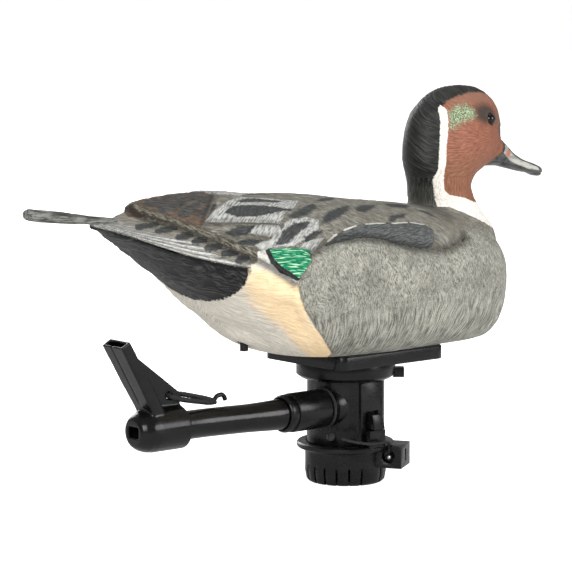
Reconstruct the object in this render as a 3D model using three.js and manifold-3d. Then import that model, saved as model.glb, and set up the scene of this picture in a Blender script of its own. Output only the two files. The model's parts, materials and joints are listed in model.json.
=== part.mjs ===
// Floating duck decoy: a hollow painted duck hull with a battery tub in its belly and a
// motor-driven water pump hung below on a twist-lock ring. The pump drives water through a
// side arm to a spout under the tail, so the decoy moves and splashes.
//
// Millimetres. The origin is the centre of the pump's flat foot, on the pump's upright axis.
// +X points to the bill, +Y to the duck's left side and +Z up.

import * as THREE from 'three';
import { mergeVertices } from 'three/addons/utils/BufferGeometryUtils.js';
import Module from 'manifold-3d';

const wasm = await Module();
wasm.setup();

// ---------------------------------------------------------------- driving dimensions

const tubeSides = 8; // facets round a cord or wire
const gap = 0.3; // clearance left between neighbouring pieces
const overcut = 1; // how far a cutting shape runs past the face it cuts

// duck
const breastX = 149; // front of the breast
const tailX = -233; // rear edge of the fanned tail
const bellyZ = 103; // the hull's flat underside
const wall = 3; // thickness of the moulded hull and head
const neckSeamZ = 203; // where the head sits on the neck
const headTopZ = 294.5;
const billTipX = 205;
const eye = { x: 132, y: 17.3, z: 268.5, r: 4.8 };
const sprig = { tipX: -288, baseX: -206, tipZ: 218, baseZ: 207.4, halfWidth: 6, halfHeight: 3.6 };

// battery tub: a plate outside the hull with an open box inside it
const plate = { x: 8.6, length: 106, width: 90, corner: 9, bottom: 92, top: 101.4 };
const tubBox = { length: 92, width: 76, top: 166, wall: 2.5, floor: 95 };
const screwInset = { x: 6, y: 5.2 }; // plate edge to screw axis
const screw = { r: 1.75, headR: 3.2, headHeight: 2.4, length: 17 };
const tubNeck = { outer: 31, inner: 25.5, bottom: 84.5 };
const lug = { outer: 33.4, bottom: 85.5, top: 87.5, angle: 30 };

// pump column
const lockRing = {
  outer: 37.5, lipR: 34.1, bottom: 79, shoulder: 80.8, top: 91.7, bore: 34.4, throat: 29.8,
  tabAngle: -40, tabRoot: 35.5, tabTip: 43.9, tabWidth: 9, tabHeight: 7.2, tabZ: 82.2
};
const tooth = { inner: 31.5, bottom: 88.2, top: 90.6, angle: 30 };
const column = { r: 29.3, bottom: 30.4, top: 81.1, lipR: 33.6, lipTop: 84.2, bore: 24.3, boreTop: 69.7 };
const motorCan = { outer: 24, bore: 19, top: 128, boreTop: 124.5 };
const ringSeat = { inner: 27.4, outer: 29.4, floor: 82.9 };
const pad = { halfWidth: 10.9, face: 29.8, bottom: 33, top: 77.6 };
const motor = { r: 18, bottom: 70.4, top: 119, bossR: 5, bossHeight: 1.2 };
const shaft = { r: 1.6, bottom: 52.5 };
const impeller = { r: 18.5, hubR: 4.5, bottom: 52.6, top: 63, disc: 2, vanes: 6 };
const sealPlate = { r: 24, bottom: 65.6, top: 69.4, hole: 5 };
const volute = { r: 24, bottom: 47, top: 50, eye: 10 };

// discharge arm, on the pump's starboard side until the hose swings to the middle
const armZ = 59;
const armY = -9;
const spigot = { r: 13.2, bore: 8.5, end: -38 };
const sleeve = { outer: 14.5, bore: 13.5, near: -32.2, far: -64 };
const adapter = { outer: 14, inner: 11.8, tail: 13.1, near: -40, shoulder: -64.4, far: -71.5 };
const hose = { outer: 11.4, bore: 8.6, near: -41, bendNear: -72, bendFar: -150, far: -177 };
const barrel = { r: 15.8, bore: 11.8, rim: -158, taper: -185, disc: -199, discR: 9, seat: -178.5 };
const spout = {
  tilt: 30.3, tipX: -213, tipZ: 123.7, length: 69.2,
  baseWidth: 20.6, tipWidth: 23.6, baseDepth: 10.4, tipDepth: 8.2, wall: 2
};
const gusset = {
  thickness: 4.4, holeR: 2.75, holeX: -168.4, holeZ: 82.6,
  topX: -199, topZ: 114.5, cornerX: -159, cornerZ: 84, footNear: -158.3, footFar: -180
};
const link = { strandR: 1.3, endX: -127, endZ: 73.8, spread: 3.9 };

// strainer basket
const rim = { r: 37, bottom: 25.6, top: 30 };
const cup = { r: 30.7, footR: 29.6, inner: 27.5, floor: 3, slots: 20, slotWidth: 1.7, slotTop: 13 };
const block = { angle: -58, outer: 47, width: 25, bottom: 12.7, top: 29.6 };
const ear = { halfWidth: 7.6, near: 30.4, far: 36.3, bottom: 29, top: 42.2 };
const latch = {
  halfWidth: 5, bottom: 43.2, top: 54.2, leafIn: 28.3, wedgeTop: 35.8, wedgeBottom: 39,
  legIn: 31.4, legOut: 33.3, legHalfWidth: 2.8, legBottom: 31.5
};
const latchWell = {
  floor: 26.7, outside: 40, halfWidth: 6.2, bottom: 42.4, top: 56.2, legHalfWidth: 3.6, legBottom: 20
};
const cordR = 1.2;
const pushButton = { x: -98.5, r: 3, bodyR: 5.2, bottom: 107.4, top: 125 };

const colours = {
  hull: 0x8d8c86, head: 0x5a3a2c, eye: 0x14100c, sprig: 0x7d7b76, black: 0x1b1c1d, rubber: 0x151515,
  steel: 0xb9bcc0, motor: 0xa9adb2, board: 0x1f5a3a, battery: 0x2c4f86, white: 0xd8d8d4, seal: 0x2a2a2a,
  red: 0x9a2b22
};

// ---------------------------------------------------------------- helpers

const object = new THREE.Group();
const degrees = THREE.MathUtils.degToRad;

function solid(geometry) {
  const merged = mergeVertices(withoutExtras(geometry), 1e-4);
  return new wasm.Manifold(new wasm.Mesh({
    numProp: 3,
    vertProperties: new Float32Array(merged.attributes.position.array),
    triVerts: new Uint32Array(merged.index.array)
  }));
}

function geometryOf(manifold) {
  const mesh = manifold.getMesh();
  const geometry = new THREE.BufferGeometry();
  geometry.setAttribute('position', new THREE.BufferAttribute(new Float32Array(mesh.vertProperties), 3));
  geometry.setIndex(new THREE.BufferAttribute(new Uint32Array(mesh.triVerts), 1));
  geometry.computeVertexNormals();
  return geometry;
}

function piece(name, shape, color, roughness = 0.6, metalness = 0) {
  const geometry = shape.isBufferGeometry ? shape : geometryOf(shape);
  const material = new THREE.MeshStandardMaterial({ color, roughness, metalness });
  const mesh = new THREE.Mesh(geometry, material);
  mesh.name = name;
  object.add(mesh);
  return mesh;
}

function joined(first, ...others) {
  return others.reduce((sum, other) => sum.add(other), first);
}

function cut(first, ...others) {
  return others.reduce((rest, other) => rest.subtract(other), first);
}

function boxBetween(low, high) {
  const size = high.map((value, i) => value - low[i]);
  const box = new THREE.BoxGeometry(...size);
  box.translate(...low.map((value, i) => value + size[i] / 2));
  return box;
}

// a lathe about the upright axis from [radius, height] points that close on themselves
function turned(points, segments = 40) {
  const outline = points.map(([r, z]) => new THREE.Vector2(r, z));
  const closed = points[0][0] === 0 ? outline : [...outline, outline[0]];
  const lathe = new THREE.LatheGeometry(closed, segments);
  lathe.rotateX(Math.PI / 2);
  return facingOut(lathe);
}

// turns a closed mesh inside out when its signed volume is negative
function facingOut(geometry) {
  const flat = mergeVertices(withoutExtras(geometry), 1e-4);
  const place = flat.attributes.position;
  const index = flat.index.array;
  const a = new THREE.Vector3();
  const b = new THREE.Vector3();
  const c = new THREE.Vector3();
  const kept = [];
  let volume = 0;
  for (let i = 0; i < index.length; i += 3) {
    const [p, q, r] = [index[i], index[i + 1], index[i + 2]];
    if (p === q || q === r || r === p) continue;
    kept.push([p, q, r]);
    a.fromBufferAttribute(place, p);
    b.fromBufferAttribute(place, q);
    c.fromBufferAttribute(place, r);
    volume += a.dot(b.cross(c));
  }
  const ordered = volume < 0 ? kept.map(([p, q, r]) => [p, r, q]) : kept;
  flat.setIndex(ordered.flat());
  flat.computeVertexNormals();
  return flat;
}

function withoutExtras(geometry) {
  const plain = geometry.clone();
  plain.deleteAttribute('normal');
  plain.deleteAttribute('uv');
  return plain;
}

// an upright cylinder between two heights
function post(radius, bottom, top, segments = 32, x = 0, y = 0) {
  const shape = new THREE.CylinderGeometry(radius, radius, top - bottom, segments);
  shape.rotateX(Math.PI / 2);
  shape.translate(x, y, (top + bottom) / 2);
  return shape;
}

// lays an upright shape down so that its +Z runs along -X, then moves it onto an arm axis
function alongArm(geometry, y = 0) {
  geometry.rotateY(-Math.PI / 2);
  geometry.translate(0, y, armZ);
  return geometry;
}

// a closed skin through rings of equal point count; a ring of one point closes as a pole
function loft(rings) {
  const points = [];
  const starts = rings.map((ring) => {
    const start = points.length;
    points.push(...ring);
    return start;
  });
  const faces = [];
  const count = Math.max(...rings.map((ring) => ring.length));
  const at = (ring, i) => starts[ring] + (rings[ring].length === 1 ? 0 : i % count);
  for (let ring = 0; ring + 1 < rings.length; ring += 1) {
    for (let i = 0; i < count; i += 1) {
      const quad = [at(ring, i), at(ring, i + 1), at(ring + 1, i + 1), at(ring + 1, i)];
      if (quad[0] !== quad[1]) faces.push([quad[0], quad[1], quad[2]]);
      if (quad[2] !== quad[3]) faces.push([quad[0], quad[2], quad[3]]);
    }
  }
  for (const end of [0, rings.length - 1]) {
    const ring = rings[end];
    if (ring.length === 1) continue;
    const middle = ring.reduce((sum, p) => sum.map((v, k) => v + p[k] / ring.length), [0, 0, 0]);
    const centre = points.push(middle) - 1;
    for (let i = 0; i < count; i += 1) {
      const edge = [at(end, i + 1), at(end, i)];
      faces.push(end === 0 ? [...edge, centre] : [edge[1], edge[0], centre]);
    }
  }
  const geometry = new THREE.BufferGeometry();
  geometry.setAttribute('position', new THREE.BufferAttribute(new Float32Array(points.flat()), 3));
  geometry.setIndex(faces.flat());
  return facingOut(geometry);
}

// a smooth curve through [place, value, value, ...] rows that never overshoots between rows
function smoothTable(rows) {
  const x = rows.map((row) => row[0]);
  const column = (k) => rows.map((row) => row[k]);
  const slopes = (y) => {
    const step = x.slice(1).map((value, i) => (y[i + 1] - y[i]) / (value - x[i]));
    return y.map((_, i) => {
      if (i === 0) return step[0];
      if (i === y.length - 1) return step[step.length - 1];
      if (step[i - 1] * step[i] <= 0) return 0;
      return (2 * step[i - 1] * step[i]) / (step[i - 1] + step[i]);
    });
  };
  const values = rows[0].slice(1).map((_, k) => column(k + 1));
  const tangents = values.map(slopes);
  return (place) => {
    let i = 0;
    while (i < x.length - 2 && place > x[i + 1]) i += 1;
    const span = x[i + 1] - x[i];
    const t = (place - x[i]) / span;
    const h = [2 * t ** 3 - 3 * t ** 2 + 1, t ** 3 - 2 * t ** 2 + t, 3 * t ** 2 - 2 * t ** 3, t ** 3 - t ** 2];
    return values.map((y, k) => h[0] * y[i] + h[1] * span * tangents[k][i]
      + h[2] * y[i + 1] + h[3] * span * tangents[k][i + 1]);
  };
}

const signedPower = (value, power) => Math.sign(value) * Math.abs(value) ** power;

// ---------------------------------------------------------------- the duck's shape

// x, half-width, top z, widest z, bottom z, upper roundness, lower roundness
const hullRows = [
  [tailX, 3, 208.8, 206.6, 204.6, 1.6, 1.6],
  [-220, 15, 213, 201.5, 199.6, 1.3, 1.6],
  [-198, 32, 219.5, 192.5, 189.5, 1.2, 1.5],
  [-178, 45, 222.3, 185, 176, 1.35, 1.5],
  [-157, 56, 223.5, 179.5, 159, 1.6, 1.7],
  [-140, 65, 223.5, 176, 146.5, 1.8, 1.9],
  [-122, 73.5, 223, 172, 127.5, 1.95, 2.1],
  [-104, 79, 222, 168, 115, 2.1, 2.2],
  [-80, 82, 221, 164, 105, 2.2, 2.4],
  [-45, 82.5, 219, 161, 98.5, 2.3, 2.6],
  [0, 82, 213, 158, 96.5, 2.3, 2.6],
  [50, 78, 207.5, 155, 96.5, 2.2, 2.5],
  [82, 70, 202.5, 153, 96.5, 2.1, 2.6],
  [107, 58.5, 196, 152, 97, 2.0, 2.6],
  [127, 43, 187, 151, 99.5, 2.0, 2.4],
  [141, 25.5, 173, 150, 110, 2.0, 2.3],
  [breastX, 0.5, 150.4, 150, 149.6, 2.0, 2.0]
];
const hullLength = breastX - tailX;
const alongHull = (x) => Math.sqrt((breastX - x) / hullLength); // even steps round the breast
const hullAt = smoothTable(hullRows.map(([x, ...rest]) => [alongHull(x), ...rest]).reverse());

function hullRing(x, thickness, points) {
  const [width, top, middle, bottom, upper, lower] = hullAt(alongHull(x));
  const ring = [];
  for (let i = 0; i < points; i += 1) {
    const angle = (2 * Math.PI * i) / points;
    const up = Math.sin(angle) >= 0;
    const power = 2 / (up ? upper : lower);
    const height = (up ? top - middle : middle - bottom) - thickness;
    const y = (width - thickness) * signedPower(Math.cos(angle), power);
    const z = middle + height * signedPower(Math.sin(angle), power);
    ring.push([x, y, Math.max(z, bellyZ + thickness)]);
  }
  return ring;
}

function hullLoft(thickness, front, rear, steps, points) {
  const rings = [];
  for (let i = 0; i <= steps; i += 1) {
    const place = THREE.MathUtils.lerp(alongHull(front), alongHull(rear), i / steps);
    rings.push(hullRing(breastX - hullLength * place ** 2, thickness, points));
  }
  return loft(rings);
}

// z, centre x, half-length, half-width
const headRows = [
  [170, 80, 58, 55],
  [186, 91, 47.5, 42],
  [196, 97, 35, 31],
  [neckSeamZ, 99.2, 29, 26],
  [210, 97.5, 26, 23.6],
  [217, 96.5, 25.5, 22.6],
  [226, 98.2, 29, 23],
  [233, 103, 37, 23.6],
  [242, 108, 44, 24.2],
  [250, 110.6, 46.4, 24.4],
  [258, 111.4, 46, 24],
  [266, 112, 44.4, 22.8],
  [273, 112.5, 42.3, 21],
  [280, 113.6, 37.2, 18.2],
  [286, 114, 30.5, 14.8],
  [290.5, 114.3, 22.5, 11],
  [293.2, 114.8, 13.5, 6.8],
  [headTopZ, 115, 0.6, 0.5]
];
const headAt = smoothTable(headRows);
const faceTaper = 0.16; // how much narrower the face is than the back of the head

function headRing(z, thickness, points) {
  const [x, length, width] = headAt(z);
  const taper = z > neckSeamZ ? faceTaper * Math.min((z - neckSeamZ) / 30, 1) : 0;
  const ring = [];
  for (let i = 0; i < points; i += 1) {
    const angle = (2 * Math.PI * i) / points;
    const narrowing = 1 - taper * Math.cos(angle);
    ring.push([
      x + (length - thickness) * Math.cos(angle),
      (width - thickness) * Math.sin(angle) * narrowing,
      z
    ]);
  }
  return ring;
}

function headLoft(thickness, heights, points) {
  return loft(heights.map((z) => headRing(z, thickness, points)));
}

// x, half-width, top z, bottom z, roundness
const billRows = [
  [140, 13, 255, 231, 2],
  [155, 11.4, 253.5, 230.5, 2.1],
  [163, 10.2, 247.6, 229, 2.2],
  [172, 9.3, 240.4, 227, 2.3],
  [183, 9, 234.6, 224.6, 2.5],
  [193, 9.5, 231.4, 222.6, 2.5],
  [200, 8.6, 229, 220.4, 2.4],
  [203.6, 5.4, 227.2, 220, 2.2],
  [billTipX, 0.8, 224.6, 223, 2]
];

function billLoft() {
  const at = smoothTable(billRows);
  const places = [140, 150, 156, 162, 168, 174, 180, 186, 192, 197, 200.5, 203, 204.4, billTipX];
  const points = 14;
  return loft(places.map((x) => {
    const [width, top, bottom, roundness] = at(x);
    return Array.from({ length: points }, (_, i) => {
      const angle = (2 * Math.PI * i) / points;
      return [
        x,
        width * signedPower(Math.cos(angle), 2 / roundness),
        (top + bottom) / 2 + ((top - bottom) / 2) * signedPower(Math.sin(angle), 2 / roundness)
      ];
    });
  }));
}

function sprigLoft(extra) {
  const steps = 7;
  const points = 12;
  const rings = [];
  for (let i = 0; i <= steps; i += 1) {
    const t = i / steps;
    const x = THREE.MathUtils.lerp(sprig.baseX + extra, sprig.tipX - extra, t);
    const z = THREE.MathUtils.lerp(sprig.baseZ, sprig.tipZ, t);
    const narrowing = t > 0.9 ? 0.62 : 1 - 0.25 * t;
    rings.push(Array.from({ length: points }, (_, k) => {
      const angle = (2 * Math.PI * k) / points;
      return [
        x,
        (sprig.halfWidth * narrowing + extra) * Math.cos(angle),
        z + (sprig.halfHeight * narrowing + extra) * Math.sin(angle)
      ];
    }));
  }
  return loft(rings);
}

const screwPlaces = [[1, 1], [1, -1], [-1, 1], [-1, -1]].map(([sx, sy]) => [
  plate.x + sx * (plate.length / 2 - screwInset.x),
  sy * (plate.width / 2 - screwInset.y)
]);

function hullShell() {
  const innerFront = breastX - wall;
  const innerRear = -186; // the tail is solid behind this
  const outer = solid(hullLoft(0, breastX, tailX, 26, 26));
  const neckHeights = [170, 180, 188, 195, neckSeamZ - gap];
  const neck = solid(headLoft(0, neckHeights, 20));
  const bossR = 4.5;
  const bossTop = 124;
  const bosses = screwPlaces.map(([x, y]) => solid(post(bossR, bellyZ + 1, bossTop, 16, x, y)));
  const inside = solid(hullLoft(wall, innerFront, innerRear, 12, 16));
  const neckInside = solid(headLoft(wall, [172, 188, neckSeamZ + overcut], 16));
  const opening = solid(boxBetween(
    [plate.x - tubBox.length / 2 - gap, -tubBox.width / 2 - gap, bellyZ - 10],
    [plate.x + tubBox.length / 2 + gap, tubBox.width / 2 + gap, tubBox.top + 2]
  ));
  const pilots = screwPlaces.map(([x, y]) => solid(post(screw.r + gap, 80, 116, 16, x, y)));
  const hollow = cut(joined(inside, neckInside), ...bosses);
  const button = solid(post(pushButton.bodyR + gap, 90, 140, 20, pushButton.x, 0));
  const headSeat = solid(headLoft(-gap, [neckSeamZ - gap, 208, 214], 22));
  return cut(joined(outer, neck), hollow, opening, ...pilots, button, headSeat, solid(sprigLoft(gap)));
}

function headShell() {
  const heights = [neckSeamZ, 209, 216, 223, 229, 235, 243, 252, 261, 269, 276, 282, 287, 290.8, headTopZ];
  const hollowHeights = [neckSeamZ - overcut, 209, 217, 226, 235, 250, 265, 278, 286];
  const outer = joined(solid(headLoft(0, heights, 22)), solid(billLoft()));
  const sockets = [1, -1].map((side) => solid(eyeball(side, gap)));
  return cut(outer, solid(headLoft(wall, hollowHeights, 14)), ...sockets);
}

function eyeball(side, extra) {
  const ball = new THREE.SphereGeometry(eye.r + extra, 12, 8);
  ball.translate(eye.x, side * eye.y, eye.z);
  return ball;
}

// ---------------------------------------------------------------- battery tub

function roundedPlate(length, width, corner, bottom, top) {
  const x = length / 2;
  const y = width / 2;
  const shape = new THREE.Shape();
  shape.moveTo(x, -y + corner);
  shape.lineTo(x, y - corner);
  shape.absarc(x - corner, y - corner, corner, 0, Math.PI / 2);
  shape.lineTo(-x + corner, y);
  shape.absarc(-x + corner, y - corner, corner, Math.PI / 2, Math.PI);
  shape.lineTo(-x, -y + corner);
  shape.absarc(-x + corner, -y + corner, corner, Math.PI, 1.5 * Math.PI);
  shape.lineTo(x - corner, -y);
  shape.absarc(x - corner, -y + corner, corner, -Math.PI / 2, 0);
  const depth = top - bottom;
  const slab = new THREE.ExtrudeGeometry(shape, { depth, bevelEnabled: false, curveSegments: 6 });
  slab.translate(plate.x, 0, bottom);
  return slab;
}

function tubBoxSolid(inset, bottom, top) {
  const x = tubBox.length / 2 - inset;
  const y = tubBox.width / 2 - inset;
  return solid(boxBetween([plate.x - x, -y, bottom], [plate.x + x, y, top]));
}

const shelfTop = 136;
const shelfThickness = 2;

// a slice of a ring between two radii, centred on an angle in degrees
function ringSlice(inner, outer, bottom, top, centre, span) {
  const start = degrees(centre - span / 2);
  const end = degrees(centre + span / 2);
  const shape = new THREE.Shape();
  shape.absarc(0, 0, outer, start, end, false);
  shape.absarc(0, 0, inner, end, start, true);
  const depth = top - bottom;
  const slice = new THREE.ExtrudeGeometry(shape, { depth, bevelEnabled: false, curveSegments: 5 });
  slice.translate(0, 0, bottom);
  return solid(slice);
}

const thirdTurns = [0, 120, 240];

function batteryTub() {
  const slab = solid(roundedPlate(plate.length, plate.width, plate.corner, plate.bottom, plate.top));
  const box = tubBoxSolid(0, plate.top - 1, tubBox.top);
  const inside = tubBoxSolid(tubBox.wall, tubBox.floor, tubBox.top + overcut);
  const neck = solid(post(tubNeck.outer, tubNeck.bottom, plate.bottom + 1, 36));
  const lugs = thirdTurns.map((turn) => ringSlice(
    tubNeck.outer - 1, lug.outer, lug.bottom, lug.top, turn, lug.angle));
  const shelfPosts = [[1, 1], [1, -1], [-1, 1], [-1, -1]].map(([sx, sy]) => {
    const x = plate.x + sx * (tubBox.length / 2 - 5);
    const y = sy * (tubBox.width / 2 - 5);
    return solid(boxBetween([x - 4, y - 4, tubBox.floor - 1], [x + 4, y + 4, shelfTop - shelfThickness - gap]));
  });
  const bore = solid(post(tubNeck.inner, tubNeck.bottom - overcut, tubBox.floor + overcut, 32));
  const holes = screwPlaces.map(([x, y]) => solid(post(screw.r + gap, 80, 110, 16, x, y)));
  const sinks = screwPlaces.map(([x, y]) => solid(
    post(screw.headR + gap, 80, plate.bottom + screw.headHeight + gap, 16, x, y)));
  const openBox = cut(joined(slab, box), inside);
  return cut(joined(openBox, neck, ...lugs, ...shelfPosts), bore, ...holes, ...sinks);
}

function tubGasket() {
  const sheet = solid(roundedPlate(
    plate.length - 2, plate.width - 1, plate.corner, plate.top + gap, bellyZ - gap));
  const window = tubBoxSolid(-gap, 80, 120);
  const holes = screwPlaces.map(([x, y]) => solid(post(screw.r + gap, 80, 120, 16, x, y)));
  return cut(sheet, window, ...holes);
}

function tubScrew(x, y) {
  const headTop = plate.bottom + screw.headHeight;
  const shank = solid(post(screw.r, plate.bottom + 0.2, headTop + screw.length, 12, x, y));
  const head = solid(post(screw.headR, plate.bottom + 0.2, headTop, 16, x, y));
  const [under, deep] = [plate.bottom - 1, plate.bottom + 1.1];
  const recess = solid(boxBetween([x - 2, y - 0.5, under], [x + 2, y + 0.5, deep]));
  const crossRecess = solid(boxBetween([x - 0.5, y - 2, under], [x + 0.5, y + 2, deep]));
  return cut(joined(shank, head), recess, crossRecess);
}

function buildTub() {
  piece('battery_tub', batteryTub(), colours.black, 0.5);
  piece('tub_gasket', tubGasket(), colours.rubber, 0.9);
  screwPlaces.forEach(([x, y], i) => {
    piece(`tub_screw_${i + 1}`, tubScrew(x, y), colours.steel, 0.3, 1);
  });
  const shelfX = tubBox.length / 2 - tubBox.wall - 1;
  const shelfY = tubBox.width / 2 - tubBox.wall - 1;
  const shelf = solid(boxBetween([plate.x - shelfX, -shelfY, shelfTop - shelfThickness],
    [plate.x + shelfX, shelfY, shelfTop]));
  const wireWay = solid(boxBetween([plate.x - 38, -8, 120], [plate.x - 30, 8, 150]));
  piece('battery_shelf', cut(shelf, wireWay), colours.black, 0.6);
  piece('battery_pack', batteryPack(), colours.battery, 0.45);
  const board = { thickness: 1.6, x: plate.x + 36, halfWidth: 26, height: 26 };
  const boardBody = solid(boxBetween([board.x, -board.halfWidth, shelfTop + gap],
    [board.x + board.thickness, board.halfWidth, shelfTop + board.height]));
  const chip = solid(boxBetween([board.x - 2.2, -6, shelfTop + 8], [board.x + 0.2, 6, shelfTop + 18]));
  const relay = solid(boxBetween([board.x - 3.4, 12, shelfTop + 6], [board.x + 0.2, 22, shelfTop + 18]));
  piece('control_board', joined(boardBody, chip, relay), colours.board, 0.5);
}

function batteryPack() {
  const cellR = 9;
  const cellPitch = 10.5; // the wrapped cells sink into one another's outline
  const length = 62;
  const cells = [-2, -1, 0, 1, 2].map((row) => {
    const cell = new THREE.CylinderGeometry(cellR, cellR, length, 12);
    cell.translate(plate.x + 2 + row * cellPitch, 0, shelfTop + gap + cellR);
    return solid(cell);
  });
  return joined(...cells);
}

// ---------------------------------------------------------------- lock ring and pump column

function lockRingSolid() {
  const ring = solid(turned([
    [lockRing.throat, lockRing.bottom], [lockRing.lipR, lockRing.bottom],
    [lockRing.outer, lockRing.bottom + 2.6], [lockRing.outer, lockRing.top],
    [lockRing.bore, lockRing.top], [lockRing.bore, lockRing.shoulder - gap],
    [lockRing.throat, lockRing.shoulder - gap]
  ], 40));
  const tab = new THREE.BoxGeometry(lockRing.tabTip - lockRing.tabRoot, lockRing.tabWidth, lockRing.tabHeight);
  tab.translate((lockRing.tabTip + lockRing.tabRoot) / 2, 0, lockRing.tabZ);
  tab.rotateZ(degrees(lockRing.tabAngle));
  const teeth = thirdTurns.map((turn) => ringSlice(
    tooth.inner, lockRing.bore + 1, tooth.bottom, tooth.top, turn, tooth.angle));
  return joined(ring, solid(tab), ...teeth);
}

function columnCore() {
  return solid(turned([
    [0, motorCan.top], [motorCan.outer - 3, motorCan.top], [motorCan.outer, motorCan.top - 3],
    [motorCan.outer, column.lipTop], [column.lipR, column.lipTop], [column.lipR, column.top],
    [column.r, column.top], [column.r, column.bottom], [0, column.bottom]
  ], 40));
}

function columnHousing() {
  const pads = [1, -1].map((side) => solid(boxBetween(
    [-pad.halfWidth, Math.min(side * 20, side * pad.face), pad.bottom],
    [pad.halfWidth, Math.max(side * 20, side * pad.face), pad.top])));
  const arm = solid(alongArm(post(spigot.r, 0, -spigot.end, 24), armY));
  const saddle = solid(alongArm(post(spigot.r + 1.2, 0, 26, 24), armY));
  const groove = grooveSet();
  const bore = solid(post(column.bore, column.bottom - overcut, column.boreTop, 28));
  const motorBore = solid(post(motorCan.bore, column.boreTop - overcut, motorCan.boreTop, 24));
  const wireHole = solid(post(2.6, motorCan.boreTop - overcut, motorCan.top + overcut, 12));
  const outlet = solid(alongArm(post(spigot.bore, 4, -spigot.end + overcut, 16), armY));
  const pockets = [1, -1].map(latchPocket);
  const seat = cut(solid(post(ringSeat.outer, ringSeat.floor, 90, 24)), solid(post(ringSeat.inner, 80, 91, 24)));
  const body = joined(columnCore(), ...pads, saddle, cut(arm, groove));
  return cut(body, bore, motorBore, wireHole, outlet, seat, ...pockets);
}

// three thread-like grooves that show between the column and the union sleeve
function grooveSet() {
  const ring = (from) => cut(
    solid(alongArm(post(spigot.r + 2, from, from + 1, 24), armY)),
    solid(alongArm(post(spigot.r - 0.7, from - 1, from + 2, 24), armY)));
  return joined(ring(26.6), ring(33), ring(35.5));
}

// the pocket behind a latch, open at the pad's face and at its lower edge
function latchPocket(side) {
  const near = Math.min(side * latchWell.floor, side * latchWell.outside);
  const far = Math.max(side * latchWell.floor, side * latchWell.outside);
  const { halfWidth, bottom, top, legHalfWidth, legBottom } = latchWell;
  const wide = boxBetween([-halfWidth, near, bottom], [halfWidth, far, top]);
  const narrow = boxBetween([-legHalfWidth, near, legBottom], [legHalfWidth, far, bottom + 0.6]);
  return joined(solid(wide), solid(narrow));
}

// a sprung push tab: a wedge outside, a leaf in the pocket and a leg down into the ear
function latchSolid(side) {
  const outline = new THREE.Shape();
  outline.moveTo(latch.leafIn, latch.top);
  outline.lineTo(latch.wedgeTop, latch.top);
  outline.lineTo(latch.wedgeBottom, latch.bottom);
  outline.lineTo(latch.leafIn, latch.bottom);
  const wedge = new THREE.ExtrudeGeometry(outline, { depth: 2 * latch.halfWidth, bevelEnabled: false });
  // the outline is drawn as (outward, up) and extruded sideways
  wedge.applyMatrix4(new THREE.Matrix4().makeBasis(
    new THREE.Vector3(0, side, 0), new THREE.Vector3(0, 0, 1), new THREE.Vector3(side, 0, 0)));
  wedge.translate(-side * latch.halfWidth, 0, 0);
  const legNear = Math.min(side * latch.legIn, side * latch.legOut);
  const legFar = Math.max(side * latch.legIn, side * latch.legOut);
  const leg = boxBetween(
    [-latch.legHalfWidth, legNear, latch.legBottom], [latch.legHalfWidth, legFar, latch.bottom + 1]);
  return joined(solid(wedge), solid(leg));
}

function buildPump() {
  piece('lock_ring', lockRingSolid(), colours.black, 0.45);
  piece('column_housing', columnHousing(), colours.black, 0.45);
  const ringMiddle = (ringSeat.inner + ringSeat.outer) / 2;
  piece('column_oring', turned(ringProfile(ringMiddle, ringSeat.floor + 0.75, 0.45), 24), colours.rubber, 0.9);
  for (const [side, name] of [[-1, 'latch_right'], [1, 'latch_left']]) {
    piece(name, latchSolid(side), colours.black, 0.4);
  }
}

// a small round ring section, as lathe points, centred at a radius and height
function ringProfile(radius, height, r, points = 6) {
  return Array.from({ length: points }, (_, i) => {
    const angle = (2 * Math.PI * i) / points;
    return [radius + r * Math.cos(angle), height + r * Math.sin(angle)];
  });
}

function motorSolid() {
  const can = solid(post(motor.r, motor.bottom + motor.bossHeight, motor.top, 32));
  const boss = solid(post(motor.bossR, motor.bottom, motor.bottom + motor.bossHeight + overcut, 20));
  const shaftHole = solid(post(shaft.r + gap, motor.bottom - overcut, motor.bottom + 20, 16));
  return cut(joined(can, boss), shaftHole);
}

function impellerSolid() {
  const { r, hubR, bottom, top, disc } = impeller;
  const plateDisc = solid(post(r, top - disc, top, 36));
  const hub = solid(post(hubR, bottom, top, 20));
  const vanes = Array.from({ length: impeller.vanes }, (_, i) => {
    const vane = new THREE.BoxGeometry(r - hubR + 1, 1.6, top - bottom - 0.5);
    vane.translate((r + hubR - 1) / 2, 0, (top + bottom) / 2);
    vane.rotateZ(degrees((360 * i) / impeller.vanes));
    return solid(vane);
  });
  const rimCut = cut(solid(post(r + 5, bottom - 1, top + 1, 36)), solid(post(r, bottom - 2, top + 2, 36)));
  return cut(joined(plateDisc, hub, ...vanes), rimCut, solid(post(shaft.r + gap, 40, 80, 16)));
}

function buildRotor() {
  piece('motor', motorSolid(), colours.motor, 0.35, 0.9);
  piece('motor_shaft', post(shaft.r, shaft.bottom, motor.bottom + 19, 16), colours.steel, 0.25, 1);
  piece('impeller', impellerSolid(), colours.white, 0.5);
  const carrier = solid(post(sealPlate.r, sealPlate.bottom, sealPlate.top, 40));
  piece('seal_plate', cut(carrier, solid(post(sealPlate.hole, 50, 80, 24))), colours.black, 0.5);
  const lip = shaft.r + 0.5; // the seal's lip clears the shaft
  const sealProfile = [
    [lip, sealPlate.bottom + gap], [sealPlate.hole - gap, sealPlate.bottom + gap],
    [sealPlate.hole - gap, sealPlate.top - gap], [lip, sealPlate.top - gap]
  ];
  piece('shaft_seal', turned(sealProfile, 24), colours.seal, 0.8);
  const intake = solid(post(volute.r, volute.bottom, volute.top, 40));
  piece('volute_plate', cut(intake, solid(post(volute.eye, 40, 60, 28))), colours.black, 0.5);
}

// ---------------------------------------------------------------- strainer and tether

// places a shape drawn beside the cup's +X side at the cord block's angle
function atBlock(geometry) {
  return solid(geometry.rotateZ(degrees(block.angle)));
}

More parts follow.
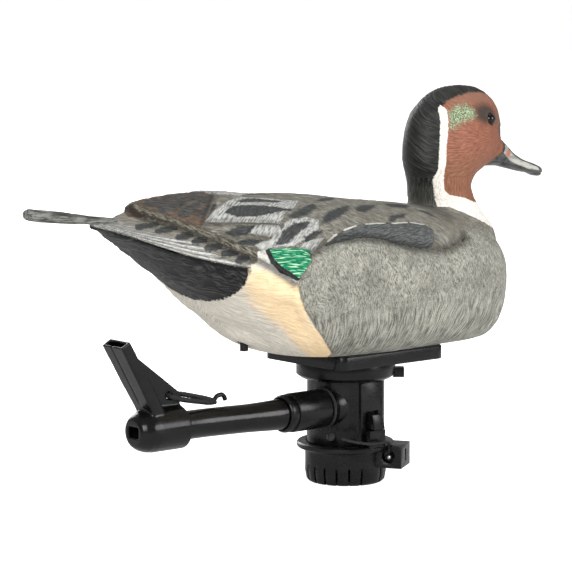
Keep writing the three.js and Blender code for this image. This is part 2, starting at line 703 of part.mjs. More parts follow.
const pocket = { reach: 37, z: 21.7, r: 5.2, depth: 7.5 };

function cordBlock() {
  const half = block.width / 2;
  const body = atBlock(boxBetween([24, -half, block.bottom], [block.outer, half, block.top]));
  const hole = new THREE.CylinderGeometry(pocket.r, pocket.r, pocket.depth + overcut, 24);
  hole.translate(pocket.reach, -half + (pocket.depth - overcut) / 2, pocket.z);
  const slotUp = boxBetween([pocket.reach - 2.4, -half - overcut, pocket.z],
    [pocket.reach + 2.4, -half + pocket.depth - 2, block.top + overcut]);
  const slotOut = boxBetween([pocket.reach + 4, -2, 17.2], [block.outer + overcut, 2, 26.2]);
  return cut(body, atBlock(hole), atBlock(slotUp), atBlock(slotOut));
}

function earBlock(side) {
  const near = Math.min(side * ear.near, side * ear.far);
  const far = Math.max(side * ear.near, side * ear.far);
  const body = boxBetween([-ear.halfWidth, near, ear.bottom], [ear.halfWidth, far, ear.top]);
  const windowNear = Math.min(side * (ear.near - 1), side * 33.8);
  const windowFar = Math.max(side * (ear.near - 1), side * 33.8);
  const legWindow = boxBetween([-3.4, windowNear, rim.top], [3.4, windowFar, ear.top + overcut]);
  return cut(solid(body), solid(legWindow));
}

function strainerBasket() {
  const shell = solid(turned([
    [0, 0], [cup.footR - 1.6, 0], [cup.footR, 1.6], [cup.r, 8], [cup.r, 23], [31.6, 24.4],
    [rim.r - 1, rim.bottom],
    [rim.r, rim.bottom + 1], [rim.r, rim.top - 1], [rim.r - 1, rim.top], [cup.inner, rim.top],
    [cup.inner, cup.floor], [0, cup.floor]
  ], 40));
  const pitch = 360 / cup.slots;
  const slotless = -90; // a solid rib under the cord block stands here
  const slots = [];
  for (let i = 0; i < cup.slots; i += 1) {
    const angle = i * pitch > 180 ? i * pitch - 360 : i * pitch;
    if (angle === slotless) continue;
    const slot = boxBetween(
      [cup.inner - 1, -cup.slotWidth / 2, -overcut], [cup.r + 2.3, cup.slotWidth / 2, cup.slotTop]);
    slots.push(solid(slot.rotateZ(degrees(angle))));
  }
  const hollow = solid(post(cup.inner, cup.floor, rim.top + overcut, 40));
  const added = joined(cordBlock(), earBlock(1), earBlock(-1));
  return cut(joined(shell, cut(added, hollow)), ...slots);
}

function tube(points, radius, steps = 14) {
  const path = new THREE.CatmullRomCurve3(points.map((p) => new THREE.Vector3(...p)), false, 'centripetal');
  const section = new THREE.Shape();
  section.absarc(0, 0, radius, 0, 2 * Math.PI);
  return facingOut(new THREE.ExtrudeGeometry(section, {
    steps, curveSegments: tubeSides / 2, extrudePath: path, bevelEnabled: false
  }));
}

// a point given beside the cord block, in world axes
function besideBlock(reach, across, z) {
  const turn = degrees(block.angle);
  return [
    reach * Math.cos(turn) - across * Math.sin(turn), reach * Math.sin(turn) + across * Math.cos(turn), z
  ];
}

const knot = { x: -34, y: -22, z: 39.6 };

function buildStrainer() {
  piece('strainer_basket', strainerBasket(), colours.black, 0.4);
  const across = -block.width / 2 + 3;
  const stop = new THREE.SphereGeometry(2.4, 10, 6);
  stop.translate(...besideBlock(pocket.reach, across, pocket.z - 1));
  piece('cord_stop', stop, colours.steel, 0.3, 1);
  piece('tether_line', tube([
    besideBlock(pocket.reach, across, pocket.z + 2.2),
    besideBlock(pocket.reach, across, block.top - 0.5),
    [7, -39.6, 33], [-8, -39.4, 33.4], [-22, -34.5, 36], [knot.x + 5.6, knot.y - 5.6, 38.2]
  ], cordR), colours.rubber, 0.8);
  const loopX = -30.6;
  const hoop = new THREE.TorusGeometry(spigot.r + gap + cordR, cordR, 6, 22);
  hoop.rotateY(Math.PI / 2);
  hoop.translate(loopX, armY, armZ);
  const dropPath = [[loopX, armY - 5, armZ - 14.8], [loopX - 1.5, armY - 9, 42.6], [knot.x, knot.y, knot.z]];
  const drop = tube(dropPath, cordR, 6);
  const bundle = new THREE.SphereGeometry(3.4, 10, 6);
  bundle.translate(knot.x, knot.y, knot.z);
  piece('tether_loop', joined(solid(hoop), solid(drop), solid(bundle)), colours.rubber, 0.8);
}

// ---------------------------------------------------------------- discharge arm and spout

function hoseMiddle(x) {
  const t = THREE.MathUtils.clamp((x - hose.bendNear) / (hose.bendFar - hose.bendNear), 0, 1);
  return armY * (1 - t * t * (3 - 2 * t));
}

function hoseSolid() {
  const count = 16;
  const points = Array.from({ length: count + 1 }, (_, i) => {
    const x = THREE.MathUtils.lerp(hose.near, hose.far, i / count);
    return new THREE.Vector3(x, hoseMiddle(x), armZ);
  });
  const ring = new THREE.Shape();
  ring.absarc(0, 0, hose.outer, 0, 2 * Math.PI);
  const bore = new THREE.Path();
  bore.absarc(0, 0, hose.bore, 0, 2 * Math.PI, true);
  ring.holes.push(bore);
  return facingOut(new THREE.ExtrudeGeometry(ring, {
    steps: 14, curveSegments: 11, bevelEnabled: false, extrudePath: new THREE.CatmullRomCurve3(points)
  }));
}

function barrelSolid() {
  return solid(alongArm(turned([
    [barrel.bore, -barrel.rim], [barrel.r, -barrel.rim], [barrel.r, -barrel.taper], [15, 190.4], [13.2, 195],
    [11, 198], [barrel.discR, -barrel.disc], [0, -barrel.disc], [0, 196], [8.6, 196],
    [8.6, -barrel.seat], [barrel.bore, -barrel.seat]
  ], 32)));
}

function spoutRing(t, inset) {
  const tilt = degrees(spout.tilt);
  const reach = spout.length * (1 - t);
  const middle = [spout.tipX + reach * Math.sin(tilt), spout.tipZ - reach * Math.cos(tilt)];
  const y = THREE.MathUtils.lerp(spout.baseWidth, spout.tipWidth, t) / 2 - inset;
  const half = THREE.MathUtils.lerp(spout.baseDepth, spout.tipDepth, t) / 2 - inset;
  const corner = (across, side) => [
    middle[0] + across * Math.cos(tilt), side * y, middle[1] + across * Math.sin(tilt)
  ];
  return [corner(-half, -1), corner(half, -1), corner(half, 1), corner(-half, 1)];
}

function gussetSolid() {
  const outline = new THREE.Shape();
  const footZ = armZ + 14; // just inside the barrel's top
  outline.moveTo(gusset.topX, gusset.topZ);
  outline.lineTo(gusset.cornerX, gusset.cornerZ);
  outline.lineTo(gusset.footNear, footZ);
  outline.lineTo(gusset.footFar, footZ);
  const web = new THREE.ExtrudeGeometry(outline, { depth: gusset.thickness, bevelEnabled: false });
  web.rotateX(Math.PI / 2);
  web.translate(0, gusset.thickness / 2, 0);
  const hole = new THREE.CylinderGeometry(gusset.holeR, gusset.holeR, 12, 20);
  hole.translate(gusset.holeX, 0, gusset.holeZ);
  return cut(solid(web), solid(hole));
}

function nozzleSolid() {
  const outer = solid(loft([0, 0.5, 1].map((t) => spoutRing(t, 0))));
  const waterway = solid(loft([-0.02, 0.5, 1.03].map((t) => spoutRing(t, spout.wall))));
  const hoseEnd = solid(alongArm(post(barrel.bore, -barrel.rim - overcut, -barrel.seat, 32)));
  const chamber = solid(alongArm(post(8.6, -barrel.seat - overcut, 196, 32)));
  const port = solid(boxBetween([-201, -6, armZ - 3.8], [-195, 6, armZ + 3.8]));
  return cut(joined(barrelSolid(), outer, gussetSolid()), hoseEnd, chamber, waterway, port);
}

// a cord link through the gusset's hole, its two strands either side of the web
function linkSolid() {
  const { spread, endX, endZ } = link;
  const side = (sign) => [
    [gusset.holeX + 2, sign * spread, gusset.holeZ - 0.4],
    [(gusset.holeX + endX) / 2, sign * spread * 0.7, (gusset.holeZ + endZ) / 2],
    [endX - 1, sign * 1.6, endZ]
  ];
  const path = [
    [gusset.holeX, 0, gusset.holeZ], [gusset.holeX, spread - 0.6, gusset.holeZ], ...side(1),
    [endX + 0.6, 0, endZ], ...side(-1).reverse(), [gusset.holeX, -spread + 0.6, gusset.holeZ]
  ];
  const curve = new THREE.CatmullRomCurve3(path.map((p) => new THREE.Vector3(...p)), true, 'centripetal');
  const rings = 30;
  const sides = 6;
  const frames = curve.computeFrenetFrames(rings, true);
  const vertices = [];
  const faces = [];
  for (let i = 0; i < rings; i += 1) {
    const at = curve.getPointAt(i / rings);
    for (let k = 0; k < sides; k += 1) {
      const angle = (2 * Math.PI * k) / sides;
      const out = frames.normals[i].clone().multiplyScalar(Math.cos(angle));
      out.addScaledVector(frames.binormals[i], Math.sin(angle));
      vertices.push(...at.clone().addScaledVector(out, link.strandR).toArray());
      const next = (i + 1) % rings;
      const around = (k + 1) % sides;
      faces.push(i * sides + k, next * sides + k, next * sides + around);
      faces.push(i * sides + k, next * sides + around, i * sides + around);
    }
  }
  const geometry = new THREE.BufferGeometry();
  geometry.setAttribute('position', new THREE.BufferAttribute(new Float32Array(vertices), 3));
  geometry.setIndex(faces);
  return facingOut(geometry);
}

function hookSolid() {
  const x = link.endX;
  const z = link.endZ;
  return tube([
    [x + 3.6, 0, z - 0.6], [x + 2.4, 0, z + 2.2], [x + 4, 0, z + 3.6], [x + 7.2, 0, z + 3.8],
    [x + 9.8, 0, z + 2.2], [x + 10.4, 0, z - 0.4]
  ], 1.2, 9);
}

function buildArm() {
  const { outer, bore, near, far } = sleeve;
  piece('union_sleeve', alongArm(turned([
    [bore, -near], [outer - 0.6, -near], [outer, 0.6 - near],
    [outer, -far - 0.6], [outer - 0.6, -far], [bore, -far]
  ], 28), armY), colours.black, 0.4);
  piece('union_oring', alongArm(turned(ringProfile(11.9, 39, 0.6), 20), armY), colours.rubber, 0.9);
  piece('hose_adapter', alongArm(turned([
    [adapter.inner, -adapter.near], [adapter.tail, -adapter.near], [adapter.tail, -adapter.shoulder],
    [adapter.outer, -adapter.shoulder], [adapter.outer, -adapter.far - 1.6], [adapter.outer - 1.2, -adapter.far],
    [adapter.inner, -adapter.far]
  ], 28), armY), colours.black, 0.45);
  piece('discharge_hose', hoseSolid(), colours.black, 0.4);
  piece('nozzle', nozzleSolid(), colours.black, 0.4);
  piece('hook_loop', linkSolid(), colours.rubber, 0.8);
  piece('line_hook', hookSolid(), colours.black, 0.4);
}

// ---------------------------------------------------------------- power button and wires

function buildButton() {
  const { x, r, bodyR, bottom, top } = pushButton;
  piece('power_button', post(r, bottom, top, 20, x, 0), colours.rubber, 0.7);
  const body = cut(solid(post(bodyR, 114.5, 132, 24, x, 0)), solid(post(r + gap, 100, 129, 20, x, 0)));
  piece('switch_body', body, colours.black, 0.5);
  const nut = cut(solid(post(7.6, 123, 126, 6, x, 0)), solid(post(bodyR + gap, 110, 140, 24, x, 0)));
  piece('switch_nut', nut, colours.steel, 0.4, 1);
  piece('switch_lead', tube([
    [x, 0, 132.4], [x, 0, 144], [-70, 6, 158], [-46, 6, 172], [-24, 4, 171], [-8, 4, 160], [-6, 4, 158]
  ], 1.2), colours.red, 0.7);
  piece('pump_lead', tube([
    [0, 0, motor.top + gap], [0, 0, 127], [-4, 0, 131], [-20, 0, 131], [-25.4, 0, 136], [-25.4, 0, 152]
  ], 1.1), colours.red, 0.7);
}

// ---------------------------------------------------------------- the whole decoy

piece('body_shell', hullShell(), colours.hull, 0.75);
piece('head_shell', headShell(), colours.head, 0.7);
piece('eye_right', eyeball(-1, 0), colours.eye, 0.1);
piece('eye_left', eyeball(1, 0), colours.eye, 0.1);
piece('tail_sprig', sprigLoft(0), colours.sprig, 0.75);
buildTub();
buildPump();
buildRotor();
buildStrainer();
buildArm();
buildButton();

export default object;
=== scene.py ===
"""Looks for the floating duck decoy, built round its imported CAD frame.

The painted hull and head are closed moulded skins with carved feather relief. Their paint zones are kept
on the mesh as distances in millimetres, and the materials turn those distances into crisp brush edges.
The hose, nozzle, sprig and cords are finer pieces in the places of their CAD nodes.
"""

import json
import math

import bmesh
import bpy
import numpy as np
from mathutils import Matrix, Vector


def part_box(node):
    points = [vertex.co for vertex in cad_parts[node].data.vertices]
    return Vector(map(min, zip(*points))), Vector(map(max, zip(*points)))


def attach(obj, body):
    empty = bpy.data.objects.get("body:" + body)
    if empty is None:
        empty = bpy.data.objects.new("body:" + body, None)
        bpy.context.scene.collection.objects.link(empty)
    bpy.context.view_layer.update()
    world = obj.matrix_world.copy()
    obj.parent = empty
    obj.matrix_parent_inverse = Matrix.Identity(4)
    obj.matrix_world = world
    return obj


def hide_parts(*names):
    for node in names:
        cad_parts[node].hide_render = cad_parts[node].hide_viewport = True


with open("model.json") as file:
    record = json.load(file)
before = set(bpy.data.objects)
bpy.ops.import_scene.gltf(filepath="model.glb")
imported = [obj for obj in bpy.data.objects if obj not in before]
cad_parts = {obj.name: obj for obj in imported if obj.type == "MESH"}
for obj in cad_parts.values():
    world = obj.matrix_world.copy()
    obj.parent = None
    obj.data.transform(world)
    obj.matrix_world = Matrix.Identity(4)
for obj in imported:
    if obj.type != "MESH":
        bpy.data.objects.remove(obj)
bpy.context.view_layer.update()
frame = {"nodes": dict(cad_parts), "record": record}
nodes = frame["nodes"]
MM = 0.001

# ---------- driving dimensions, in millimetres

BREAST_X = 149.0
TAIL_X = -233.0
HULL_LENGTH = BREAST_X - TAIL_X
BELLY_Z = 103.0
NECK_SEAM_Z = 203.0
BILL_ROOT_X = 140.0
SKIN_THICKNESS = 3.0
BODY_VOXEL = 1.0
HEAD_VOXEL = 0.65
TUB_GAP = 0.5
SWITCH_GAP = 0.15
EYE = Vector((132.0, 17.3, 268.5))
EYE_RADIUS = 4.8

# x, half-width, top z, widest z, bottom z, upper roundness, lower roundness
HULL_ROWS = [
    (-233, 3, 208.8, 206.6, 204.6, 1.6, 1.6),
    (-220, 15, 213, 201.5, 199.6, 1.3, 1.6),
    (-198, 32, 219.5, 192.5, 189.5, 1.2, 1.5),
    (-178, 45, 222.3, 185, 176, 1.35, 1.5),
    (-157, 56, 223.5, 179.5, 159, 1.6, 1.7),
    (-140, 65, 223.5, 176, 146.5, 1.8, 1.9),
    (-122, 73.5, 223, 172, 127.5, 1.95, 2.1),
    (-104, 79, 222, 168, 115, 2.1, 2.2),
    (-80, 82, 221, 164, 105, 2.2, 2.4),
    (-45, 82.5, 219, 161, 98.5, 2.3, 2.6),
    (0, 82, 213, 158, 96.5, 2.3, 2.6),
    (50, 78, 207.5, 155, 96.5, 2.2, 2.5),
    (82, 70, 202.5, 153, 96.5, 2.1, 2.6),
    (107, 58.5, 196, 152, 97, 2.0, 2.6),
    (127, 43, 187, 151, 99.5, 2.0, 2.4),
    (141, 25.5, 173, 150, 110, 2.0, 2.3),
    (149, 0.5, 150.4, 150, 149.6, 2.0, 2.0),
]

# z, centre x, half-length, half-width
HEAD_ROWS = [
    (170, 80, 58, 55),
    (186, 91, 47.5, 42),
    (196, 97, 35, 31),
    (203, 99.2, 29, 26),
    (210, 97.5, 26, 23.6),
    (217, 96.5, 25.5, 22.6),
    (226, 98.2, 29, 23),
    (233, 103, 37, 23.6),
    (242, 108, 44, 24.2),
    (250, 110.6, 46.4, 24.4),
    (258, 111.4, 46, 24),
    (266, 112, 44.4, 22.8),
    (273, 112.5, 42.3, 21),
    (280, 113.6, 37.2, 18.2),
    (286, 114, 30.5, 14.8),
    (290.5, 114.3, 22.5, 11),
    (293.2, 114.8, 13.5, 6.8),
    (294.5, 115, 0.6, 0.5),
]
FACE_TAPER = 0.16
TAPER_RISE = 30.0

# x, half-width, top z, bottom z, roundness
BILL_ROWS = [
    (140, 13, 255, 231, 2),
    (155, 11.4, 253.5, 230.5, 2.1),
    (163, 10.2, 247.6, 229, 2.2),
    (172, 9.3, 240.4, 227, 2.3),
    (183, 9, 234.6, 224.6, 2.5),
    (193, 9.5, 231.4, 222.6, 2.5),
    (200, 8.6, 229, 220.4, 2.4),
    (203.6, 5.4, 227.2, 220, 2.2),
    (205, 0.8, 224.6, 223, 2),
]

HOSE_BEND = (72.0, 150.0)  # how far behind the pump the bend starts and ends
HOSE_STRETCH = (-106.0, -66.0)  # the x between which the hose is stretched over the outlet
HOSE_SLACK = 1.1
HOSE_WALL = 2.8
SPRIG_RISE = (207.4, 218.0)
# one strand of the cord: x, y, z, and how far the strand lies above the middle
CORD_PATH = [
    (-169.2, 0.0, 82.7, 0), (-167.4, 4.0, 82.3, 0.8), (-158, 3.6, 80.4, 1.7),
    (-142, 2.0, 76.9, 1.6), (-129, 0.9, 74, 0.8), (-125.4, 0.4, 73.2, 0),
]
HOOK_PATH = [
    (-127.4, 0, 72.6), (-125.6, 0, 75.4), (-123.2, 0, 77.3),
    (-119.8, 0, 77.7), (-117.2, 0, 76), (-116.2, 0, 73.4),
]

# ---------- small maths


def smooth_table(rows):
    """A function that reads a table of rows at any places, with smooth curves that never overshoot."""
    rows = np.array(rows, float)
    place, values = rows[:, 0], rows[:, 1:]
    step = np.diff(values, axis=0) / np.diff(place)[:, None]
    slope = np.empty_like(values)
    slope[0], slope[-1] = step[0], step[-1]
    before, after = step[:-1], step[1:]
    total = np.where(before * after > 0, before + after, 1.0)
    slope[1:-1] = np.where(before * after > 0, 2 * before * after / total, 0.0)

    def read(places):
        p = np.atleast_1d(places).astype(float)
        i = np.clip(np.searchsorted(place, p) - 1, 0, len(place) - 2)
        span = (place[i + 1] - place[i])[:, None]
        t = ((p - place[i]) / (place[i + 1] - place[i]))[:, None]
        return (
            (2 * t**3 - 3 * t**2 + 1) * values[i]
            + (t**3 - 2 * t**2 + t) * span * slope[i]
            + (3 * t**2 - 2 * t**3) * values[i + 1]
            + (t**3 - t**2) * span * slope[i + 1]
        )

    return read


def signed_power(value, power):
    return np.sign(value) * np.abs(value) ** power


def ease(value, low, high):
    """0 below low, 1 above high, and a smooth step between them."""
    t = np.clip((value - low) / (high - low), 0, 1)
    return t * t * (3 - 2 * t)


def bump(distance, width):
    return np.exp(-((distance / width) ** 2))


def hashed(ix, iy, iz, seed):
    """Repeatable numbers from 0 to 1 for whole-number lattice corners."""
    h = ix * 374761393 + iy * 668265263 + iz * 2147483647 + seed * 974634777
    h = (h ^ (h >> 13)) * 1274126177
    h = h ^ (h >> 16)
    return (h & 0xFFFFFF) / float(0xFFFFFF)


def noise(points, size, seed=0):
    """Smooth value noise from -1 to 1, with cells of the given size in millimetres."""
    p = np.asarray(points, float) / size
    cell = np.floor(p).astype(np.int64)
    f = p - cell
    f = f * f * (3 - 2 * f)
    total = np.zeros(len(p))
    for dx in (0, 1):
        for dy in (0, 1):
            for dz in (0, 1):
                weight = (
                    (f[:, 0] if dx else 1 - f[:, 0])
                    * (f[:, 1] if dy else 1 - f[:, 1])
                    * (f[:, 2] if dz else 1 - f[:, 2])
                )
                total += weight * hashed(cell[:, 0] + dx, cell[:, 1] + dy, cell[:, 2] + dz, seed)
    return 2 * total - 1


def line_distance(points, line):
    """How far each 2-D point is from a line of joined segments."""
    best = np.full(len(points), np.inf)
    for a, b in zip(line[:-1], line[1:]):
        a, b = np.array(a, float), np.array(b, float)
        ab = b - a
        t = np.clip((points - a) @ ab / max(ab @ ab, 1e-9), 0, 1)
        best = np.minimum(best, np.linalg.norm(points - a - t[:, None] * ab, axis=1))
    return best


def inside(points, outline):
    """Signed distance to a closed outline: above 0 inside it, below 0 outside."""
    distance = line_distance(points, outline + outline[:1])
    within = np.zeros(len(points), bool)
    x, y = points[:, 0], points[:, 1]
    for (x1, y1), (x2, y2) in zip(outline, outline[1:] + outline[:1]):
        if y1 == y2:
            continue
        crosses = (y1 > y) != (y2 > y)
        within ^= crosses & (x < (x2 - x1) * (y - y1) / (y2 - y1) + x1)
    return np.where(within, distance, -distance)


def union(*distances):
    return np.maximum.reduce(distances)


def feather(points, tip, root, width, blunt=0.5):
    """Signed distance to a feather-shaped spindle from its root to its tip."""
    tip, root = np.array(tip, float), np.array(root, float)
    axis = tip - root
    length = np.linalg.norm(axis)
    axis = axis / length
    along = (points - root) @ axis / length
    across = np.abs((points - root) @ np.array([-axis[1], axis[0]]))
    t = np.clip(along, 0, 1)
    half = width / 2 * (4 * t * (1 - t)) ** blunt
    beyond = np.maximum(np.abs(along - 0.5) - 0.5, 0) * length
    return half - np.hypot(across, beyond)


# ---------- meshes


def new_object(name, points, faces):
    """A mesh object from points in millimetres, with its faces turned outwards."""
    mesh = bpy.data.meshes.new(name)
    mesh.from_pydata((np.asarray(points) * MM).tolist(), [], faces)
    work = bmesh.new()
    work.from_mesh(mesh)
    bmesh.ops.recalc_face_normals(work, faces=work.faces)
    work.to_mesh(mesh)
    work.free()
    obj = bpy.data.objects.new(name, mesh)
    bpy.context.scene.collection.objects.link(obj)
    return obj


def tube_faces(count, size, closed=False):
    """Four-sided faces between rings of points; a closed tube also joins its last ring to its first."""
    faces = []
    for i in range(count if closed else count - 1):
        j = (i + 1) % count
        for k in range(size):
            n = (k + 1) % size
            faces.append((i * size + k, i * size + n, j * size + n, j * size + k))
    return faces


def loft(name, rings):
    """A closed solid through rings of equal size, each end closed on its middle point."""
    rings = np.asarray(rings, float)
    count, size = rings.shape[:2]
    points = np.vstack([rings.reshape(-1, 3), rings[0].mean(0), rings[-1].mean(0)])
    first, last = count * size, count * size + 1
    end = (count - 1) * size
    faces = tube_faces(count, size)
    for k in range(size):
        n = (k + 1) % size
        faces.append((first, n, k))
        faces.append((last, end + k, end + n))
    return new_object(name, points, faces)


def settle(obj):
    """Bakes the object's modifiers into its mesh."""
    graph = bpy.context.evaluated_depsgraph_get()
    mesh = bpy.data.meshes.new_from_object(obj.evaluated_get(graph), depsgraph=graph)
    old = obj.data
    obj.modifiers.clear()
    obj.data = mesh
    bpy.data.meshes.remove(old)
    return obj


def join(name, parts):
    """One object that holds every part's faces."""
    work = bmesh.new()
    for part in parts:
        work.from_mesh(part.data)
        bpy.data.objects.remove(part)
    mesh = bpy.data.meshes.new(name)
    work.to_mesh(mesh)
    work.free()
    obj = bpy.data.objects.new(name, mesh)
    bpy.context.scene.collection.objects.link(obj)
    return obj


def fuse(obj, voxel):
    """Melts overlapping closed parts into one skin with even faces."""
    remesh = obj.modifiers.new("fuse", "REMESH")
    remesh.mode = "VOXEL"
    remesh.voxel_size = voxel * MM
    remesh.use_smooth_shade = True
    return settle(obj)


def soften(obj, rounds, factor=0.5):
    smooth = obj.modifiers.new("soften", "SMOOTH")
    smooth.iterations = rounds
    smooth.factor = factor
    return settle(obj)


def cut(obj, cutter):
    """Takes the cutter away from the object."""
    boolean = obj.modifiers.new("cut", "BOOLEAN")
    boolean.operation = "DIFFERENCE"
    boolean.solver = "MANIFOLD"
    boolean.object = cutter
    settle(obj)
    bpy.data.objects.remove(cutter)
    return obj


def read(obj):
    """The mesh's points, in millimetres."""
    flat = np.zeros(len(obj.data.vertices) * 3, np.float32)
    obj.data.vertices.foreach_get("co", flat)
    return flat.reshape(-1, 3).astype(float) / MM


def read_normals(obj):
    flat = np.zeros(len(obj.data.vertices) * 3, np.float32)
    obj.data.vertex_normals.foreach_get("vector", flat)
    return flat.reshape(-1, 3).astype(float)


def write(obj, points):
    obj.data.vertices.foreach_set("co", (points * MM).astype(np.float32).ravel())
    obj.data.update()


def carve(obj, height):
    """Moves each point along its normal by its height in millimetres."""
    write(obj, read(obj) + read_normals(obj) * height[:, None])


def store(obj, name, values):
    values = np.asarray(values, np.float32)
    kind = "FLOAT" if values.ndim == 1 else "FLOAT_VECTOR"
    field = "value" if values.ndim == 1 else "vector"
    attribute = obj.data.attributes.new(name, kind, "POINT")
    attribute.data.foreach_set(field, values.ravel())


def shade_smooth(obj, angle=None):
    obj.data.polygons.foreach_set("use_smooth", [True] * len(obj.data.polygons))
    obj.data.update()
    if angle:
        sharp = obj.modifiers.new("crisp_edges", "EDGE_SPLIT")
        sharp.split_angle = math.radians(angle)


def box_mm(name):
    """A CAD node's lowest and highest corners, in millimetres."""
    return [np.array(corner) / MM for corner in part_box(name)]


def circle(size):
    """The angles of points evenly round a ring."""
    return np.arange(size) * 2 * math.pi / size


def held(before, after, hold):
    """Points that keep the given share of their old places."""
    return after * (1 - hold[:, None]) + before * hold[:, None]


def stand_in(piece, body, node, angle=None):
    """Shades a finished piece and puts it on its body, in the place of a CAD node."""
    shade_smooth(piece, angle)
    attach(piece, body)
    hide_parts(node)
    return piece


# ---------- the hull's shape and its paint chart

hull_at = smooth_table(
    [(math.sqrt((BREAST_X - row[0]) / HULL_LENGTH), *row[1:]) for row in HULL_ROWS][::-1]
)
head_at = smooth_table(HEAD_ROWS)
bill_at = smooth_table(BILL_ROWS)


def along_hull(x):
    return np.sqrt(np.clip((BREAST_X - x) / HULL_LENGTH, 0, 1))


def hull_ring(place, inset, size):
    width, top, middle, bottom, upper, lower = hull_at(place)[0]
    angle = circle(size)
    up = np.sin(angle) >= 0
    power = 2 / np.where(up, upper, lower)
    height = np.where(up, top - middle, middle - bottom) - inset
    y = (width - inset) * signed_power(np.cos(angle), power)
    z = np.maximum(middle + height * signed_power(np.sin(angle), power), BELLY_Z + inset)
    return np.stack([np.full(size, BREAST_X - HULL_LENGTH * place**2), y, z], 1)


def hull_loft(name, inset, front, rear, rings, size):
    places = np.linspace(along_hull(front), along_hull(rear), rings)
    return loft(name, [hull_ring(place, inset, size) for place in places])


def head_ring(z, inset, size):
    x, length, width = head_at(z)[0]
    taper = FACE_TAPER * min(max(z - NECK_SEAM_Z, 0) / TAPER_RISE, 1)
    angle = circle(size)
    along = x + (length - inset) * np.cos(angle)
    across = (width - inset) * np.sin(angle) * (1 - taper * np.cos(angle))
    return np.stack([along, across, np.full(size, float(z))], 1)


class Chart:
    """Places on the hull as x along it and girth, the distance round from the middle of the back."""

    stations, turns, fine = 240, 181, 721

    def __init__(self):
        self.polar = np.linspace(math.pi / 2, -math.pi / 2, self.turns)
        self.table = np.array([self.arc(p) for p in np.linspace(0, 1, self.stations)])

    def arc(self, place):
        width, top, middle, bottom, upper, lower = hull_at(place)[0]
        angle = np.linspace(math.pi / 2, -math.pi / 2, self.fine)
        up = angle >= 0
        power = 2 / np.where(up, upper, lower)
        height = np.where(up, top - middle, middle - bottom)
        y = signed_power(np.cos(angle), power)
        z = signed_power(np.sin(angle), power)
        steps = np.hypot(np.diff(y * width), np.diff(z * height))
        girth = np.append(0, np.cumsum(steps))
        return np.interp(-self.polar, -np.arctan2(z, np.maximum(y, 1e-9)), girth)

    def read(self, points):
        s = along_hull(points[:, 0])
        width, top, middle, bottom, _, _ = hull_at(s).T
        up = points[:, 2] - middle
        height = np.where(up >= 0, top - middle, middle - bottom)
        turn = np.arctan2(up / height, np.abs(points[:, 1]) / width)
        row = s * (self.stations - 1)
        column = (math.pi / 2 - turn) / math.pi * (self.turns - 1)
        i = np.clip(row.astype(int), 0, self.stations - 2)
        j = np.clip(column.astype(int), 0, self.turns - 2)
        a, b = row - i, column - j
        t = self.table
        girth = (t[i, j] * (1 - b) + t[i, j + 1] * b) * (1 - a)
        girth += (t[i + 1, j] * (1 - b) + t[i + 1, j + 1] * b) * a
        return np.stack([points[:, 0], girth], 1)


chart = Chart()

# ---------- paint zones on the hull, as (x, girth)

WING_EDGE = [
    (-200, -5), (-200, 7), (-197, 13), (-189, 21), (-180, 34), (-169, 47),
    (-162, 56), (-148, 72), (-136, 83), (-126, 94), (-114, 107),
]
FLANK_REAR = [
    (-98, 89), (-101, 96), (-111, 103), (-112, 110), (-108, 121), (-103, 130),
    (-90, 147), (-71, 167), (-59, 180), (-52, 195), (-50, 240),
]
FLANK_TOP = [
    (-98, 89), (-83, 83), (-70, 80), (-43, 79), (-19, 81), (-4, 84), (19, 85), (40, 82), (56, 73), (70, 62),
]
UPPER = WING_EDGE + [(-104, 104)] + FLANK_TOP + [(100, 40), (160, 40), (160, -5)]
FLANK = FLANK_REAR[::-1] + FLANK_TOP[1:] + [(100, 40), (160, 40), (160, 260), (-50, 260)]
TERTIALS = [
    (-206, -5), (-206, 8), (-199, 12), (-191, 19), (-181, 32), (-170, 45), (-163, 40),
    (-150, 27), (-138, 16), (-130, 3), (-128, -5),
]
# each feather spot's tip, root and width
TERTIAL_SPOTS = [
    ((-193, 6), (-172, 8), 8), ((-187, 16), (-163, 15), 9), ((-176, 6), (-154, 5), 9),
    ((-176, 27), (-155, 21), 9), ((-164, 33), (-145, 26), 7), ((-168, 13), (-145, 12), 9),
    ((-155, 21), (-138, 15), 8), ((-152, 3), (-134, 2), 8),
]
SCAPULAR_LIGHTS = [
    [(-163, 39), (-151, 33), (-134, 26), (-124, 23), (-99, 25), (-74, 33), (-88, 45), (-101, 51), (-113, 62),
     (-131, 56), (-152, 46)],
    [(-140, 10), (-133, -5), (-118, -5), (-104, 11), (-117, 20)],
    [(-141, 61), (-132, 57), (-114, 62), (-117, 72), (-127, 70)],
    [(-139, 71), (-130, 71), (-120, 79), (-135, 77)],
    [(-111, 63), (-103, 59), (-86, 58), (-78, 62), (-84, 71), (-98, 78), (-112, 82), (-134, 77), (-129, 72),
     (-116, 68)],
    [(-110, 84), (-102, 80), (-82, 78), (-97, 89), (-108, 87)],
]
SCAPULAR_DARKS = [
    [(-145, 38), (-136, 34), (-130, 35), (-108, 42), (-90, 48), (-112, 51), (-127, 51), (-141, 45)],
    [(-129, 29), (-113, 26), (-88, 33), (-98, 36), (-127, 32)],
    [(-95, 2), (-75, 8), (-93, 12), (-107, 12)],
    [(-154, 53), (-143, 53), (-131, 58), (-140, 62), (-149, 60)],
    [(-150, 63), (-141, 65), (-132, 70), (-139, 71), (-146, 68)],
    [(-87, 63), (-103, 64), (-114, 68), (-126, 77), (-116, 79), (-103, 72), (-92, 68)],
    [(-80, 72), (-91, 73), (-101, 77), (-102, 81), (-93, 79)],
]
